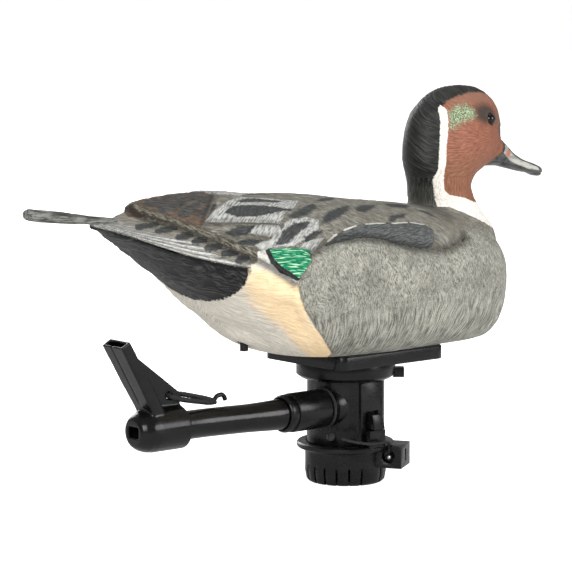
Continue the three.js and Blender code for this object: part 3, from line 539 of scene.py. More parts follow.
BACK_BLOTCHES = [
    [(-102, 55), (-89, 49), (-76, 42), (-65, 38), (-67, 46), (-85, 56), (-99, 59)],
    [(-62, 36), (-44, 24), (-26, 17), (-42, 32)],
    [(-31, 40), (-46, 46), (-62, 52), (-72, 59), (-79, 66), (-64, 63), (-49, 56)],
    [(-33, 46), (-15, 35), (2, 31), (-12, 43), (-26, 52), (-34, 52)],
    [(17, 22), (36, 20), (44, 24), (28, 35), (14, 34)],
    [(-11, 61), (-4, 54), (19, 46), (10, 54), (3, 56), (-7, 62)],
    [(39, 34), (48, 36), (50, 48), (43, 47)],
]
SHOULDER_PATCH = [
    (-84, 84), (-75, 79), (-66, 75), (-55, 71), (-43, 69), (-30, 67), (-15, 64), (9, 61), (24, 62),
    (28, 67), (24, 76), (19, 83), (9, 85), (-2, 84), (-12, 83), (-25, 80), (-38, 79), (-49, 79), (-64, 81),
]
PATCH_EDGES = [
    [(-80, 81), (-70, 76)], [(-62, 73.5), (-49, 70)], [(-38, 68), (-18, 65)], [(-10, 64), (7, 61.5)],
    [(11, 61), (23, 62)],
]
EMERALD = [(-130, 78), (-99, 87), (-101, 94), (-112, 104), (-124, 92), (-128, 86)]
EMERALD_BLACK = [
    (-133, 77), (-128, 78), (-126, 86), (-121, 92), (-110, 104), (-113, 106), (-125, 96), (-131, 87),
]
EMERALD_WHITE = [
    (-138, 76), (-131, 77), (-128, 87), (-122, 96), (-111, 105), (-114, 109), (-129, 95), (-139, 83),
]
FEATHER_LINES = [
    [(-162, 41), (-148, 47), (-131, 56), (-114, 63)],
    [(-158, 54), (-145, 62), (-128, 70)],
    [(-130, 3), (-138, 16), (-150, 28), (-163, 40)],
]
CREAM = [
    (-145, 80), (-129, 92), (-112, 106), (-100, 112), (-96, 139), (-82, 151), (-60, 170), (-46, 190),
    (-46, 206), (-62, 202), (-78, 186), (-94, 172), (-106, 160), (-120, 146), (-133, 126), (-141, 108),
    (-146, 92),
]
COVERT_LOW = [(-214, 8), (-206, 19), (-198, 29), (-186, 40), (-176, 49), (-163, 67), (-153, 76), (-147, 82)]
# each spot's middle, as x and girth, and its length
COVERT_SPOTS = [
    (-198, 21, 17), (-188, 31, 15), (-179, 42, 12), (-171, 50, 11), (-164, 59, 12), (-155, 68, 12),
    (-148, 76, 9),
]
TAIL_RIBS = (1.9, 6.2, 10.6, 15.0)  # how far above the fan's edge each white rib runs at the wide end
UNDERTAIL_LOW_Z = 146.5
# how far each moulded feature stands proud of the plain hull, in millimetres
HULL_RELIEF = {
    "wing": 1.6, "tail_top": -1.1, "tail_root": -1.9, "under_fan": -1.5,
    "groove": -2.4, "groove_bank": -1.3, "flank_swell": 1.2, "flank_lip": 0.9, "shoulder": 1.0,
    "lights": 0.55, "darks": -0.15, "patch": 0.5, "tertials": 0.35, "coverts": 0.4,
    "feather_lines": -0.45, "tail_ribs": 0.7, "tertial_spots": -0.3,
}
# x at the tail edge, that edge's z, and how far the front leans forward for each mm down
UNDERTAIL_FRONT = (-145.0, 175.0, 0.17)
BIB_LOW = [
    (78, 212), (80, 207), (86, 203), (91, 200.5), (99, 197), (109, 192), (118, 187.5), (126, 184), (134, 180),
    (152, 177),
]

# ---------- the hull skin


def fan_spread(x):
    """How far the tail's fan has opened at each x, from its tip to its wide end."""
    return 0.4 + 0.6 * np.clip((x + 230) / 75, 0, 1)


def hull_zones(points):
    """Each paint zone's signed distance at the given points, and the charts they were read from."""
    at = chart.read(points)
    x, z = points[:, 0], points[:, 2]
    gunwale = chart.read(edge_points(x))[:, 1] - at[:, 1]
    upper = inside(at, UPPER)
    lean_x, lean_z, lean = UNDERTAIL_FRONT
    zones = {
        "upper": upper,
        "flank": inside(at, FLANK),
        "tertials": inside(at, TERTIALS),
        "tertial_spots": union(*[feather(at, *spot, 0.4) for spot in TERTIAL_SPOTS]),
        "lights": union(*[inside(at, o) for o in SCAPULAR_LIGHTS]),
        "darks": union(*[inside(at, o) for o in SCAPULAR_DARKS]),
        "blotches": union(*[inside(at, o) for o in BACK_BLOTCHES]),
        "patch": inside(at, SHOULDER_PATCH),
        "patch_edges": 0.75 - np.minimum.reduce([line_distance(at, line) for line in PATCH_EDGES]),
        "emerald": inside(at, EMERALD),
        "emerald_black": inside(at, EMERALD_BLACK),
        "emerald_white": inside(at, EMERALD_WHITE),
        "lines": 0.8 - np.minimum.reduce([line_distance(at, line) for line in FEATHER_LINES]),
        "fringe": np.minimum(4.4 - line_distance(at, WING_EDGE), upper),
        "cream": inside(at, CREAM),
        "coverts": inside(at, [(-203, -5), (-214, -5)] + COVERT_LOW + WING_EDGE[8:1:-1]),
        "covert_spots": union(*[
            feather(at, (mid - long / 2, girth - long / 6), (mid + long / 2, girth + long / 6), 5.4, 0.25)
            for mid, girth, long in COVERT_SPOTS
        ]),
        "streaks": 0.75 - np.minimum.reduce([np.abs(gunwale / fan_spread(x) - rib) for rib in TAIL_RIBS]),
        "tail": np.minimum(gunwale, -143.5 - x),
        "undertail": np.minimum.reduce([-gunwale, lean_x + (lean_z - z) * lean - x, z - UNDERTAIL_LOW_Z]),
        "bib": inside(points[:, [0, 2]], BIB_LOW + [(152, 230), (78, 230)]),
    }
    return zones, at, gunwale


def edge_points(x):
    """The widest point of the hull at each x."""
    values = hull_at(along_hull(x))
    return np.stack([x, values[:, 0], values[:, 2]], 1)


def belly_hollow(x):
    """How deep the belly is hollowed behind the flanks, in millimetres."""
    return 4.8 * bump(x + 112, 19) + 1.6 * bump(x + 150, 16)


def hull_relief(points, zones, at, gunwale):
    """How far the moulded feathers stand out of the plain hull, in millimetres."""
    x, girth = at.T
    in_flank = zones["flank"]
    groove = line_distance(at, FLANK_TOP)
    on_wing = ease(zones["upper"], -1.4, 1.4) * (1 - ease(x, -125, -80))
    features = {
        "wing": on_wing,
        "tail_top": (1 - on_wing) * (1 - ease(x, -150, -110)) * ease(x, -232, -205) * ease(gunwale, -2, 2),
        "tail_root": (1 - on_wing) * ease(x, -236, -218) * (1 - ease(girth, 16, 40)) * (x < -186),
        "under_fan": bump(gunwale + 3.2, 2.6) * (1 - ease(x, -150, -138)) * ease(x, -228, -215),
        "groove": bump(groove, 4.5),
        "groove_bank": bump(groove, 11) * (in_flank > 0),
        "flank_swell": ease(in_flank, 4, 26) * (1 - ease(girth, 150, 190)) * (1 - ease(x, 60, 110)),
        "flank_lip": ease(in_flank, -0.8, 1.6) * bump(line_distance(at, FLANK_REAR), 12) * (x < -60),
        "shoulder": bump(np.hypot(x - 40, girth - 68), 12),
        "feather_lines": ease(zones["lines"], -0.9, 0.6),
        "tail_ribs": ease(zones["streaks"], -1.3, 0.7) * (zones["tail"] > 0),
        "tertial_spots": ease(zones["tertial_spots"], -1, 1),
    }
    for name in ("lights", "darks", "patch", "tertials", "coverts"):
        features[name] = ease(zones[name], -0.9, 1.1)
    switch = np.mean(box_mm("switch_body"), axis=0)
    clear_of_switch = ease(np.hypot(x - switch[0], points[:, 1] - switch[1]), 9, 24)
    hollow = belly_hollow(x) * ease(-gunwale, 12, 30) * ease(-in_flank, 0, 8) * clear_of_switch
    return sum(HULL_RELIEF[name] * shape for name, shape in features.items()) - hollow


def hull_flow(points, zones, at, gunwale):
    """Brush directions: millimetres along and across the strokes, and a number for the feather group."""
    x, girth = at.T
    warp_a = noise(points, 14, 3) + 0.5 * noise(points, 6, 4)
    warp_b = noise(points, 14, 5) + 0.5 * noise(points, 6, 6)
    low = ease(girth, 118, 150)
    fan = 1 / (1.45 - 0.45 * np.clip((girth - 80) / 110, 0, 1))
    along = girth + 2.2 * warp_a * (1 - low)
    across = (x - 20) * fan + (2.0 * (1 - low) + 0.9) * warp_b
    group = np.zeros(len(x))

    def use(where, new_along, new_across, number):
        along[where] = new_along[where]
        across[where] = new_across[where]
        group[where] = number

    use(zones["flank"] < 0, x * 0.95 + girth * 0.3 + 2 * warp_a, girth * 0.95 - x * 0.3 + 2.2 * warp_b, 11)
    use(zones["upper"] > 0, x * 0.8 + girth * 0.6 + 3 * warp_a, girth * 0.8 - x * 0.6 + 3 * warp_b, 23)
    use(zones["patch"] > 0, x * 0.98 - girth * 0.2 + 2 * warp_a, girth * 0.98 + x * 0.2 + 2 * warp_b, 31)
    comb_along, comb_across = girth * 0.55 - x * 0.83, x * 0.55 + girth * 0.83
    use((zones["lights"] > 0) & (zones["upper"] > 0), comb_along, comb_across, 43)
    use(zones["fringe"] > 0, comb_across, comb_along, 47)
    on_fan = (zones["tail"] > 0) & (zones["upper"] < 0)
    use(on_fan, x + warp_a, gunwale / fan_spread(x) + 0.3 * warp_b, 53)
    use(zones["emerald"] > -0.5, x + girth * 0.3 + warp_a, girth * 1.25 - x * 0.4 + 0.6 * warp_b, 59)
    rays = points[:, [0, 2]] - (-262.0, 222.0)
    turn = np.arctan2(rays[:, 1], rays[:, 0])
    use(zones["undertail"] > 0, np.hypot(*rays.T) + 2 * warp_a, turn * 110 + 1.5 * warp_b, 61)
    return np.stack([along, across, group], 1)


def neck_flare():
    """The stump that rises out of the hull to the neck seam."""
    heights = np.append(np.linspace(170, NECK_SEAM_Z, 40), NECK_SEAM_Z + 2.2)
    rings = [head_ring(z, 0, 120) for z in heights[:-1]]
    inner = head_ring(NECK_SEAM_Z, 1.0, 120)
    inner[:, 2] = heights[-1]
    return loft("neck_flare", rings + [inner])


def box_solid(name, low, high):
    corners = [(low[0], low[1]), (high[0], low[1]), (high[0], high[1]), (low[0], high[1])]
    return loft(name, [[(x, y, z) for x, y in corners] for z in (low[2], high[2])])


def hollow_out(shell):
    """Opens the hull's inside, the tub's seat in the belly and the hole for the switch."""
    cavity = hull_loft("cavity", inset=SKIN_THICKNESS + 0.8, front=140, rear=-205, rings=120, size=48)
    points = read(cavity)
    below = ease(edge_points(points[:, 0])[:, 2] - points[:, 2], 8, 14)
    carve(cavity, -belly_hollow(points[:, 0]) * below)
    cut(shell, cavity)

    tub = np.array([v.co for v in nodes["battery_tub"].data.vertices]) / MM
    inside_hull = tub[tub[:, 2] > BELLY_Z + 2]
    low = inside_hull.min(0) - TUB_GAP
    high = inside_hull.max(0) + TUB_GAP
    cut(shell, box_solid("tub_cutter", (low[0], low[1], BELLY_Z - 8), (high[0], high[1], BELLY_Z + 9)))

    low, high = box_mm("switch_body")
    middle = (low + high) / 2
    radius = (high[0] - low[0]) / 2 + SWITCH_GAP
    turn = circle(32)
    x, y = middle[0] + radius * np.cos(turn), middle[1] + radius * np.sin(turn)
    rings = [np.column_stack([x, y, np.full(32, z)]) for z in (low[2] - 12, high[2] + 12)]
    cut(shell, loft("switch_hole", rings))


def make_body():
    hull = hull_loft("hull", inset=0, front=148.9, rear=TAIL_X, rings=260, size=240)
    shell = fuse(join("body_skin", [hull, neck_flare()]), BODY_VOXEL)
    points = read(shell)
    near_neck = bump(np.maximum(np.abs(points[:, 2] - 192) - 8, 0), 5) * ease(points[:, 0], 20, 40)
    hold = (1 - near_neck) * 0.75
    hold[points[:, 2] > NECK_SEAM_Z - 3] = 1
    shell = soften(shell, 8)
    write(shell, held(points, read(shell), hold))

    points = read(shell)
    x, z = points[:, 0], points[:, 2]
    zones, at, gunwale = hull_zones(points)
    flow = hull_flow(points, zones, at, gunwale)
    strokes = noise(flow * (0.16, 0.42, 1), 1, 9) * 0.28 + noise(flow * (0.3, 0.8, 1), 1, 10) * 0.12
    on_neck = ease(z, NECK_SEAM_Z - 8, NECK_SEAM_Z - 1) * ease(x, 40, 58)
    flat_belly = ease(z, BELLY_Z + 1, BELLY_Z + 5)
    carve(shell, (hull_relief(points, zones, at, gunwale) + strokes) * (1 - on_neck) * flat_belly)

    # painted shade: darker in the groove under the flank top, under the tail fan's edge, below the wing's
    # step and beside the feather lines
    painted_shade = 0.8 * bump(line_distance(at, FLANK_TOP) - 1.0, 3.2) + 0.9 * bump(gunwale + 2.5, 3.0) * (x < -143)
    painted_shade += 1.0 * bump(zones["upper"] + 1.3, 2.2) * (x < -112) + 0.5 * bump(zones["lines"] + 1.2, 1.4)
    nape = (1 - ease(x, 74, 84)) * ease(x, 40, 66) * ease(z, 191, 202)
    for name, value in {**zones, "flow": flow, "painted_shade": np.clip(painted_shade, 0, 1), "nape": nape}.items():
        store(shell, name, value)
    hollow_out(shell)
    return stand_in(shell, "root", "body_shell")


# ---------- the head skin, with zones as (x, z)

CAP = [
    (144, 300), (141, 287), (128, 289), (114, 289), (101, 287), (91, 284), (87, 281), (85, 278), (84, 262),
    (81, 242), (79, 231), (79, 215), (80, 200), (50, 200), (50, 300),
]
STRIPE = [
    (84, 280.5), (82, 278), (80.6, 275), (80.2, 269), (79.4, 264), (77.6, 255), (76.6, 242), (76.4, 230),
    (75, 227), (75, 223), (76, 218), (77, 210), (79, 196), (150, 196), (150, 201), (111, 206), (101, 209),
    (93, 211), (86, 212), (83, 215), (82, 218), (81.4, 226), (81, 231), (82, 238), (82.4, 249), (84, 259),
    (86.4, 271), (86.6, 278),
]
GREEN = [
    (90, 276), (97, 279), (105, 280), (110, 277), (112, 273), (108, 270), (99, 269), (92, 266), (88, 263),
    (87, 270),
]
BILL = [
    (146, 256), (152, 253.5), (155.5, 250), (154.5, 246), (152, 241), (145, 238.5), (141, 233), (139, 215),
    (212, 215), (212, 262), (146, 262),
]
BILL_SIDE = [
    (154, 241), (157.5, 247), (162, 245), (166, 239.5), (174, 235.3), (186, 231.2), (195, 228), (197, 225.4),
    (186, 226.8), (172, 231), (163, 234.5),
]
BILL_SPOT = ((157.5, 238.6), (163.5, 242.6), 4.6)
GAPE = [(141, 234.5), (152, 234), (163, 231.6), (174, 228.6), (186, 225.4), (198, 222.4), (204, 222.6)]
HEAD_RELIEF = {
    "face": 0.5, "eyelid": 0.8, "socket": -1.3, "brow": 0.9, "lore": -0.6, "cheek": 1.0,
    "stripe": 0.35, "mouth": -0.75, "nostril": -0.5,
}


def head_zones(points):
    at = points[:, [0, 2]]
    tip, root, width = BILL_SPOT
    return {
        "cap": inside(at, CAP),
        "stripe": inside(at, STRIPE),
        "green": inside(at, GREEN),
        "bill": inside(at, BILL),
        "bill_side": inside(at, BILL_SIDE),
        "bill_spot": feather(at, tip, root, width, 0.4),
        "smudge": 1 - np.hypot((at[:, 0] - 126) / 21, (at[:, 1] - 272.5 - (at[:, 0] - 126) * -0.12) / 11),
        "brow": 1 - np.hypot((at[:, 0] - 148) / 14, (at[:, 1] - 268) / 15),
    }


def head_relief(points, zones):
    """How far the moulded features stand out of the plain head, in millimetres."""
    x, z = points[:, 0], points[:, 2]
    on_bill = ease(zones["bill"], -0.6, 0.6)
    eye = np.hypot(x - EYE.x, z - EYE.z)
    features = {
        "face": 1 - on_bill,
        "eyelid": bump(eye - EYE_RADIUS - 1.0, 1.3),
        "socket": bump(eye, 3.5),
        "brow": bump(np.hypot((x - 128) / 16, (z - 279) / 5), 1),
        "lore": bump(np.hypot(x - 140, z - 264), 6),
        "cheek": bump(np.hypot((x - 112) / 18, (z - 250) / 13), 1),
        "stripe": ease(zones["stripe"], -0.8, 0.8) * (z > NECK_SEAM_Z + 6),
        "mouth": bump(line_distance(points[:, [0, 2]], GAPE), 0.9) * on_bill,
        "nostril": bump(np.hypot((x - 163) / 3.4, (z - 243.2 + (x - 163) * 0.5) / 0.9), 1) * on_bill,
    }
    return sum(HEAD_RELIEF[name] * shape for name, shape in features.items())


def head_flow(points, zones):
    """Brush directions: rays from the face over the head, and upright strokes on the neck."""
    x, y, z = points.T
    warp_a, warp_b = noise(points, 9, 13), noise(points, 9, 15)
    centre = np.array([150.0, 255.0])
    rays = points[:, [0, 2]] - centre
    radius = np.hypot(*rays.T)
    turn = np.arctan2(rays[:, 1], rays[:, 0]) % (2 * math.pi)
    along, across = radius + 2 * warp_a, turn * 62 + y * 0.5 + 1.6 * warp_b
    group = np.full(len(x), 5.0)
    low = z < 226
    along[low] = (z + 2 * warp_a)[low]
    across[low] = (np.arctan2(y, x - 97) * 26 + warp_b)[low]
    bill = zones["bill"] > 0
    along[bill] = (x * 1.6)[bill]
    across[bill] = (z * 0.7 + y)[bill]
    group[bill] = 17
    group[zones["cap"] > 0] = 29
    return np.stack([along, across, group], 1)


def bill_loft():
    size = 64
    angle = circle(size)
    rings = []
    for x in np.append(np.linspace(138, 200, 50), np.linspace(200.5, 204.95, 14)):
        width, top, bottom, roundness = bill_at(max(x, BILL_ROOT_X))[0]
        y = width * signed_power(np.cos(angle), 2 / roundness)
        z = (top + bottom) / 2 + (top - bottom) / 2 * signed_power(np.sin(angle), 2 / roundness)
        rings.append(np.stack([np.full(size, x), y, z], 1))
    return loft("bill", rings)


def make_head():
    under = head_ring(NECK_SEAM_Z, 1.0, 160)
    under[:, 2] = NECK_SEAM_Z - 2.5
    rise = np.sin(np.linspace(0, math.pi / 2, 110))
    heights = NECK_SEAM_Z + (HEAD_ROWS[-1][0] - NECK_SEAM_Z) * rise
    skull = loft("skull", [under] + [head_ring(z, 0, 160) for z in heights])
    skin = fuse(join("head_skin", [skull, bill_loft()]), HEAD_VOXEL)
    points = read(skin)
    bill_root = bump(np.maximum(np.abs(points[:, 0] - 148) - 7, 0), 4)
    hold = np.clip(0.7 - 0.7 * bill_root, 0, 1)
    hold[points[:, 2] < NECK_SEAM_Z + 3] = 1
    skin = soften(skin, 14)
    write(skin, held(points, read(skin), hold))

    points = read(skin)
    zones = head_zones(points)
    flow = head_flow(points, zones)
    strokes = noise(flow * (0.28, 0.7, 1), 1, 21) * 0.16 + noise(points, 2.6, 22) * 0.08
    strokes = strokes * (1 - 0.85 * ease(zones["bill"], -0.5, 0.5))
    away_from_seam = ease(points[:, 2], NECK_SEAM_Z + 1, NECK_SEAM_Z + 8)
    carve(skin, (head_relief(points, zones) + strokes) * away_from_seam)
    # painted shade: darker along the carved mouth line and round the edge of the bill
    gape = bump(line_distance(points[:, [0, 2]], GAPE), 0.8) * (zones["bill"] > 0)
    painted_shade = np.clip(gape + bump(zones["bill"], 0.8), 0, 1)
    for name, value in {**zones, "flow": flow, "painted_shade": painted_shade}.items():
        store(skin, name, value)
    return stand_in(skin, "root", "head_shell")


# ---------- materials


def rgb(red, green, blue):
    """A linear colour from screen values of 0 to 255."""
    shares = [c / 255 for c in (red, green, blue)]
    return tuple(((c + 0.055) / 1.055) ** 2.4 if c > 10 / 255 else c / 12.92 for c in shares)


class Paint:
    """A material's nodes, with a short call for each kind used here. Lengths in it are in millimetres."""

    def __init__(self, name):
        self.material = bpy.data.materials.new(name)
        self.material.use_nodes = True
        self.tree = self.material.node_tree
        self.surface = self.tree.nodes["Principled BSDF"]
        self.place = self.scaled(self.add("ShaderNodeTexCoord").outputs["Object"], (1 / MM,) * 3)

    def add(self, kind, **settings):
        node = self.tree.nodes.new(kind)
        for key, value in settings.items():
            setattr(node, key, value)
        return node

    def put(self, socket, value):
        if isinstance(value, bpy.types.NodeSocket):
            self.tree.links.new(value, socket)
        elif isinstance(value, (tuple, list)) and socket.type == "RGBA":
            socket.default_value = (*value, 1.0)
        else:
            socket.default_value = value

    def scaled(self, vector, factors):
        node = self.add("ShaderNodeVectorMath", operation="MULTIPLY")
        self.put(node.inputs[0], vector)
        node.inputs[1].default_value = factors
        return node.outputs[0]

    def math(self, operation, a, b=0.0, c=0.0):
        node = self.add("ShaderNodeMath", operation=operation)
        for socket, value in zip(node.inputs, (a, b, c)):
            self.put(socket, value)
        return node.outputs[0]

    def times(self, a, b):
        return self.math("MULTIPLY", a, b)

    def line(self, value, slope, start):
        return self.math("MULTIPLY_ADD", value, slope, start)

    def total(self, *values):
        result = values[0]
        for value in values[1:]:
            result = self.math("ADD", result, value)
        return result

    def height(self):
        """How high a point is, in millimetres."""
        split = self.add("ShaderNodeSeparateXYZ")
        self.put(split.inputs[0], self.place)
        return split.outputs["Z"]

    def stored(self, name, output="Fac"):
        return self.add("ShaderNodeAttribute", attribute_name=name).outputs[output]

    def noise(self, vector, size, detail=2.0, roughness=0.5, distortion=0.0):
        """Noise from about 0.2 to 0.8, with features of the given size."""
        node = self.add("ShaderNodeTexNoise")
        self.put(node.inputs["Vector"], vector)
        node.inputs["Scale"].default_value = 1 / size
        node.inputs["Detail"].default_value = detail
        node.inputs["Roughness"].default_value = roughness
        node.inputs["Distortion"].default_value = distortion
        return node.outputs["Fac"]

    def step(self, value, low, high):
        node = self.add("ShaderNodeMapRange", interpolation_type="SMOOTHSTEP")
        self.put(node.inputs["Value"], value)
        node.inputs["From Min"].default_value = low
        node.inputs["From Max"].default_value = high
        return node.outputs["Result"]

    def mix(self, share, a, b, blend="MIX"):
        node = self.add("ShaderNodeMix", data_type="RGBA", blend_type=blend)
        self.put(node.inputs[0], share)
        self.put(node.inputs[6], a)
        self.put(node.inputs[7], b)
        return node.outputs[2]

    def coat(self, source, low, high, dark, light):
        """A colour that runs from dark to light as the source goes from low to high."""
        return self.mix(self.step(source, low, high), rgb(*dark), rgb(*light))

    def tinted(self, colour, tint):
        return self.mix(1.0, colour, rgb(*tint), "MULTIPLY")

    def bumps(self, height, distance, strength=1.0):
        """A normal from a height field: distance is how many millimetres a height of 1 stands up."""
        node = self.add("ShaderNodeBump")
        self.put(node.inputs["Height"], height)
        node.inputs["Distance"].default_value = distance * MM
        node.inputs["Strength"].default_value = strength
        return node.outputs["Normal"]

    def finish(self, colour, roughness, normal=None, specular=0.5, metallic=0.0):
        surface = self.surface.inputs
        self.put(surface["Base Color"], colour)
        self.put(surface["Roughness"], roughness)
        self.put(surface["Specular IOR Level"], specular)
        self.put(surface["Metallic"], metallic)
        if normal is not None:
            self.put(surface["Normal"], normal)
        return self.material


class Brush(Paint):
    """A painted skin: brush strokes that follow the stored flow, and zones laid over one another."""

    def __init__(self, name):
        super().__init__(name)
        self.flow = self.stored("flow", "Vector")
        self.hair = self.strokes(0.14, 0.95, 2.0, 0.55)
        self.fine = self.strokes(0.3, 1.9)
        self.strong = self.total(self.hair, self.times(self.fine, 0.6))
        self.speck = self.noise(self.place, 1.6, 1.0)
        self.wobble = self.line(self.noise(self.place, 2.6, 2.0), 2.2, -1.1)

    def strokes(self, along, across, detail=2.0, roughness=0.5):
        """Noise drawn out along the flow: how many strokes to a millimetre along it and across it."""
        return self.noise(self.scaled(self.flow, (along, across, 1.0)), 1.0, detail, roughness)

    def zone(self, under, name, colour, soft, wobble, amount=1.0, reach=0.0):
        """Lays a colour over the one below it, inside a stored zone, with a brushed edge."""
        edge = self.line(self.wobble, wobble, self.stored(name))
        share = self.step(edge, -soft - reach, soft - reach)
        return self.mix(self.times(share, amount), under, colour)

    def zones(self, colour, coats, layers):
        for name, coat, *edge in layers:
            colour = self.zone(colour, name, coats[coat], *edge)
        return colour

    # Blends the colour towards a darker tint where the stored painted shade lies, in creases and under edges.
    def with_painted_shade(self, colour, amount, tint):
        return self.mix(self.times(self.stored("painted_shade"), amount), colour, self.tinted(colour, tint))


NAPE_COAT = (0.6, 1.1, (62, 62, 56), (104, 103, 94))
# the stroke strengths between which a coat turns from its dark screen colour to its light one
HULL_COATS = {
    "back": (0.6, 1.05, (102, 101, 95), (168, 166, 156)),
    "slate": (0.62, 1.05, (50, 52, 52), (84, 86, 85)),
    "light": (0.58, 0.98, (116, 117, 113), (200, 200, 196)),
    "brown": (0.6, 1.0, (66, 58, 52), (118, 98, 82)),
    "black": (0.7, 1.12, (17, 18, 18), (76, 78, 77)),
    "off_white": (0.55, 0.95, (196, 188, 175), (232, 226, 213)),
    "silver": (0.62, 1.0, (96, 96, 93), (176, 175, 170)),
    "covert": (0.6, 1.0, (100, 97, 89), (152, 147, 136)),
    "patch": (0.6, 1.05, (58, 61, 61), (112, 115, 114)),
    "comb": (0.62, 0.98, (50, 48, 42), (138, 132, 118)),
    "nape": NAPE_COAT,
}
# zone, coat, edge softness and edge wobble in millimetres, and how much it covers, from the bottom up
HULL_LAYERS = [
    ("undertail", "black", 0.3, 1.4),
    ("tail", "silver", 0.3, 0.3),
    ("streaks", "rib", 0.6, 0.7, 0.85),
    ("coverts", "covert", 0.8, 0.8),
    ("covert_spots", "slate", 0.9, 1.8),
    ("upper", "back", 0.3, 0.4),
    ("tertials", "brown", 0.4, 0.5),
    ("tertial_spots", "slate", 1.6, 2.2, 0.9),
    ("fringe", "comb", 1.4, 1.2),
    ("lights", "light", 0.6, 1.1),
    ("darks", "slate", 0.9, 1.5),
    ("lines", "line", 0.5, 0.4, 0.8),
    ("blotches", "slate", 1.7, 1.6),
    ("emerald_white", "white", 0.35, 0.5),
    ("emerald_black", "ink", 0.35, 0.4),
    ("emerald", "emerald", 0.35, 0.4),
    ("flank", "flank", 0.35, 0.4),
    ("patch", "patch", 0.4, 0.5),
    ("patch_edges", "edge", 0.3, 0.3),
]


def hull_paint():
    p = Brush("hull_paint")
    short = p.strokes(0.3, 1.3, 2.0, 0.6)
    combed = p.step(p.height(), 152.0, 130.0)
    bars = p.line(combed, p.math("SUBTRACT", p.strokes(0.07, 0.95, 1.0), short), short)
    grain = p.noise(p.place, 0.75, 2.0, 0.6)
    mottle = p.noise(p.place, 7.0, 3.0, 0.7)
    pepper = p.total(bars, p.times(grain, 0.55), p.times(mottle, 0.4))
    flank = p.coat(pepper, 0.74, 1.18, (96, 97, 90), (180, 178, 166))
    cloud = p.step(p.noise(p.place, 22.0), 0.35, 0.7)
    glint = p.step(p.strokes(0.1, 0.85, 1.0), 0.53, 0.63)

    coats = {name: p.coat(p.strong, *coat) for name, coat in HULL_COATS.items()}
    back = coats["back"]
    coats["back"] = p.mix(p.step(mottle, 0.45, 0.62), p.tinted(back, (226, 222, 216)), back)
    coats["flank"] = p.mix(cloud, flank, p.tinted(flank, (225, 226, 226)))
    emerald = p.coat(p.fine, 0.4, 0.62, (4, 92, 62), (20, 156, 108))
    coats["emerald"] = p.mix(glint, emerald, rgb(186, 228, 190))
    coats["white"] = p.coat(p.fine, 0.35, 0.6, (188, 187, 179), (226, 225, 216))
    coats["rib"] = rgb(222, 222, 217)
    coats["line"] = rgb(98, 93, 82)
    coats["ink"] = rgb(46, 47, 47)
    coats["edge"] = rgb(224, 222, 214)
    cream = p.coat(p.hair, 0.34, 0.5, (234, 201, 151), (252, 225, 184))
    bib = p.coat(p.speck, 0.35, 0.6, (232, 226, 215), (250, 247, 240))

    colour = p.zone(coats["off_white"], "cream", cream, 5.0, 3.0, reach=-1.0)
    colour = p.zones(colour, coats, HULL_LAYERS)
    colour = p.mix(p.times(p.stored("nape"), 0.9), colour, coats["nape"])
    colour = p.zone(colour, "bib", bib, 0.3, 0.9)
    # painted shade laid into the hull's creases and under the wing and fan edges
    colour = p.with_painted_shade(colour, 0.75, (88, 84, 76))

    in_flank = p.step(p.stored("flank"), -0.3, 0.6)
    hair = p.line(in_flank, p.math("SUBTRACT", bars, p.hair), p.hair)
    relief = p.total(hair, p.times(p.fine, 0.5), p.times(p.speck, 0.15))
    return p.finish(colour, p.line(p.hair, 0.2, 0.5), p.bumps(relief, 0.85), specular=0.22)


HEAD_COATS = {
    "rust": (0.6, 1.05, (120, 72, 53), (166, 108, 85)),
    "throat": (0.6, 1.05, (116, 72, 50), (154, 104, 78)),
    "black": (0.66, 1.3, (24, 25, 23), (82, 84, 79)),
    "nape": NAPE_COAT,
}
HEAD_LAYERS = [
    ("green", "green", 3.6, 5.0, 0.9, 0.6),
    ("cap", "black", 0.9, 1.4),
    ("stripe", "white", 0.3, 1.0),
    ("bill", "bill", 0.3, 0.2),
    ("bill_side", "bill_side", 0.45, 0.3),
    ("bill_spot", "bill_spot", 0.4, 0.3),
]


def head_paint():
    p = Brush("head_paint")
    height = p.height()
    streak = p.strokes(0.05, 0.4)
    coats = {name: p.coat(p.strong, *coat) for name, coat in HEAD_COATS.items()}
    nape = p.times(p.step(height, 222.0, 203.0), 0.8)
    coats["black"] = p.mix(nape, coats["black"], coats["nape"])
    coats["green"] = p.coat(p.noise(p.place, 0.9), 0.4, 0.64, (96, 92, 70), (170, 208, 166))
    coats["white"] = p.coat(p.speck, 0.35, 0.6, (222, 215, 204), (243, 238, 229))
    coats["bill"] = p.coat(streak, 0.42, 0.6, (36, 38, 38), (84, 86, 84))
    coats["bill_side"] = p.coat(streak, 0.4, 0.6, (142, 141, 134), (182, 181, 172))
    coats["bill_spot"] = rgb(176, 112, 94)

    colour = p.mix(p.step(height, 232.0, 250.0), coats["throat"], coats["rust"])
    for share, amount, tone in (
        (p.step(height, 276.0, 288.0), 0.55, (138, 108, 92)),
        (p.step(p.stored("brow"), 0.0, 1.0), 0.55, (96, 90, 80)),
        (p.step(p.stored("smudge"), 0.0, 0.65), 0.9, (50, 47, 42)),
    ):
        colour = p.mix(p.times(share, amount), colour, rgb(*tone))
    # the head's zones, then painted shade along the mouth line and round the bill's edge
    colour = p.with_painted_shade(p.zones(colour, coats, HEAD_LAYERS), 0.6, (90, 84, 78))

    on_bill = p.step(p.stored("bill"), -0.4, 0.4)
    relief = p.total(p.hair, p.times(p.fine, 0.5), p.times(p.speck, 0.2))
    normal = p.bumps(p.times(relief, p.line(on_bill, -0.85, 1.0)), 0.5, 0.8)
    return p.finish(colour, p.line(on_bill, -0.16, 0.5), normal, specular=0.28)


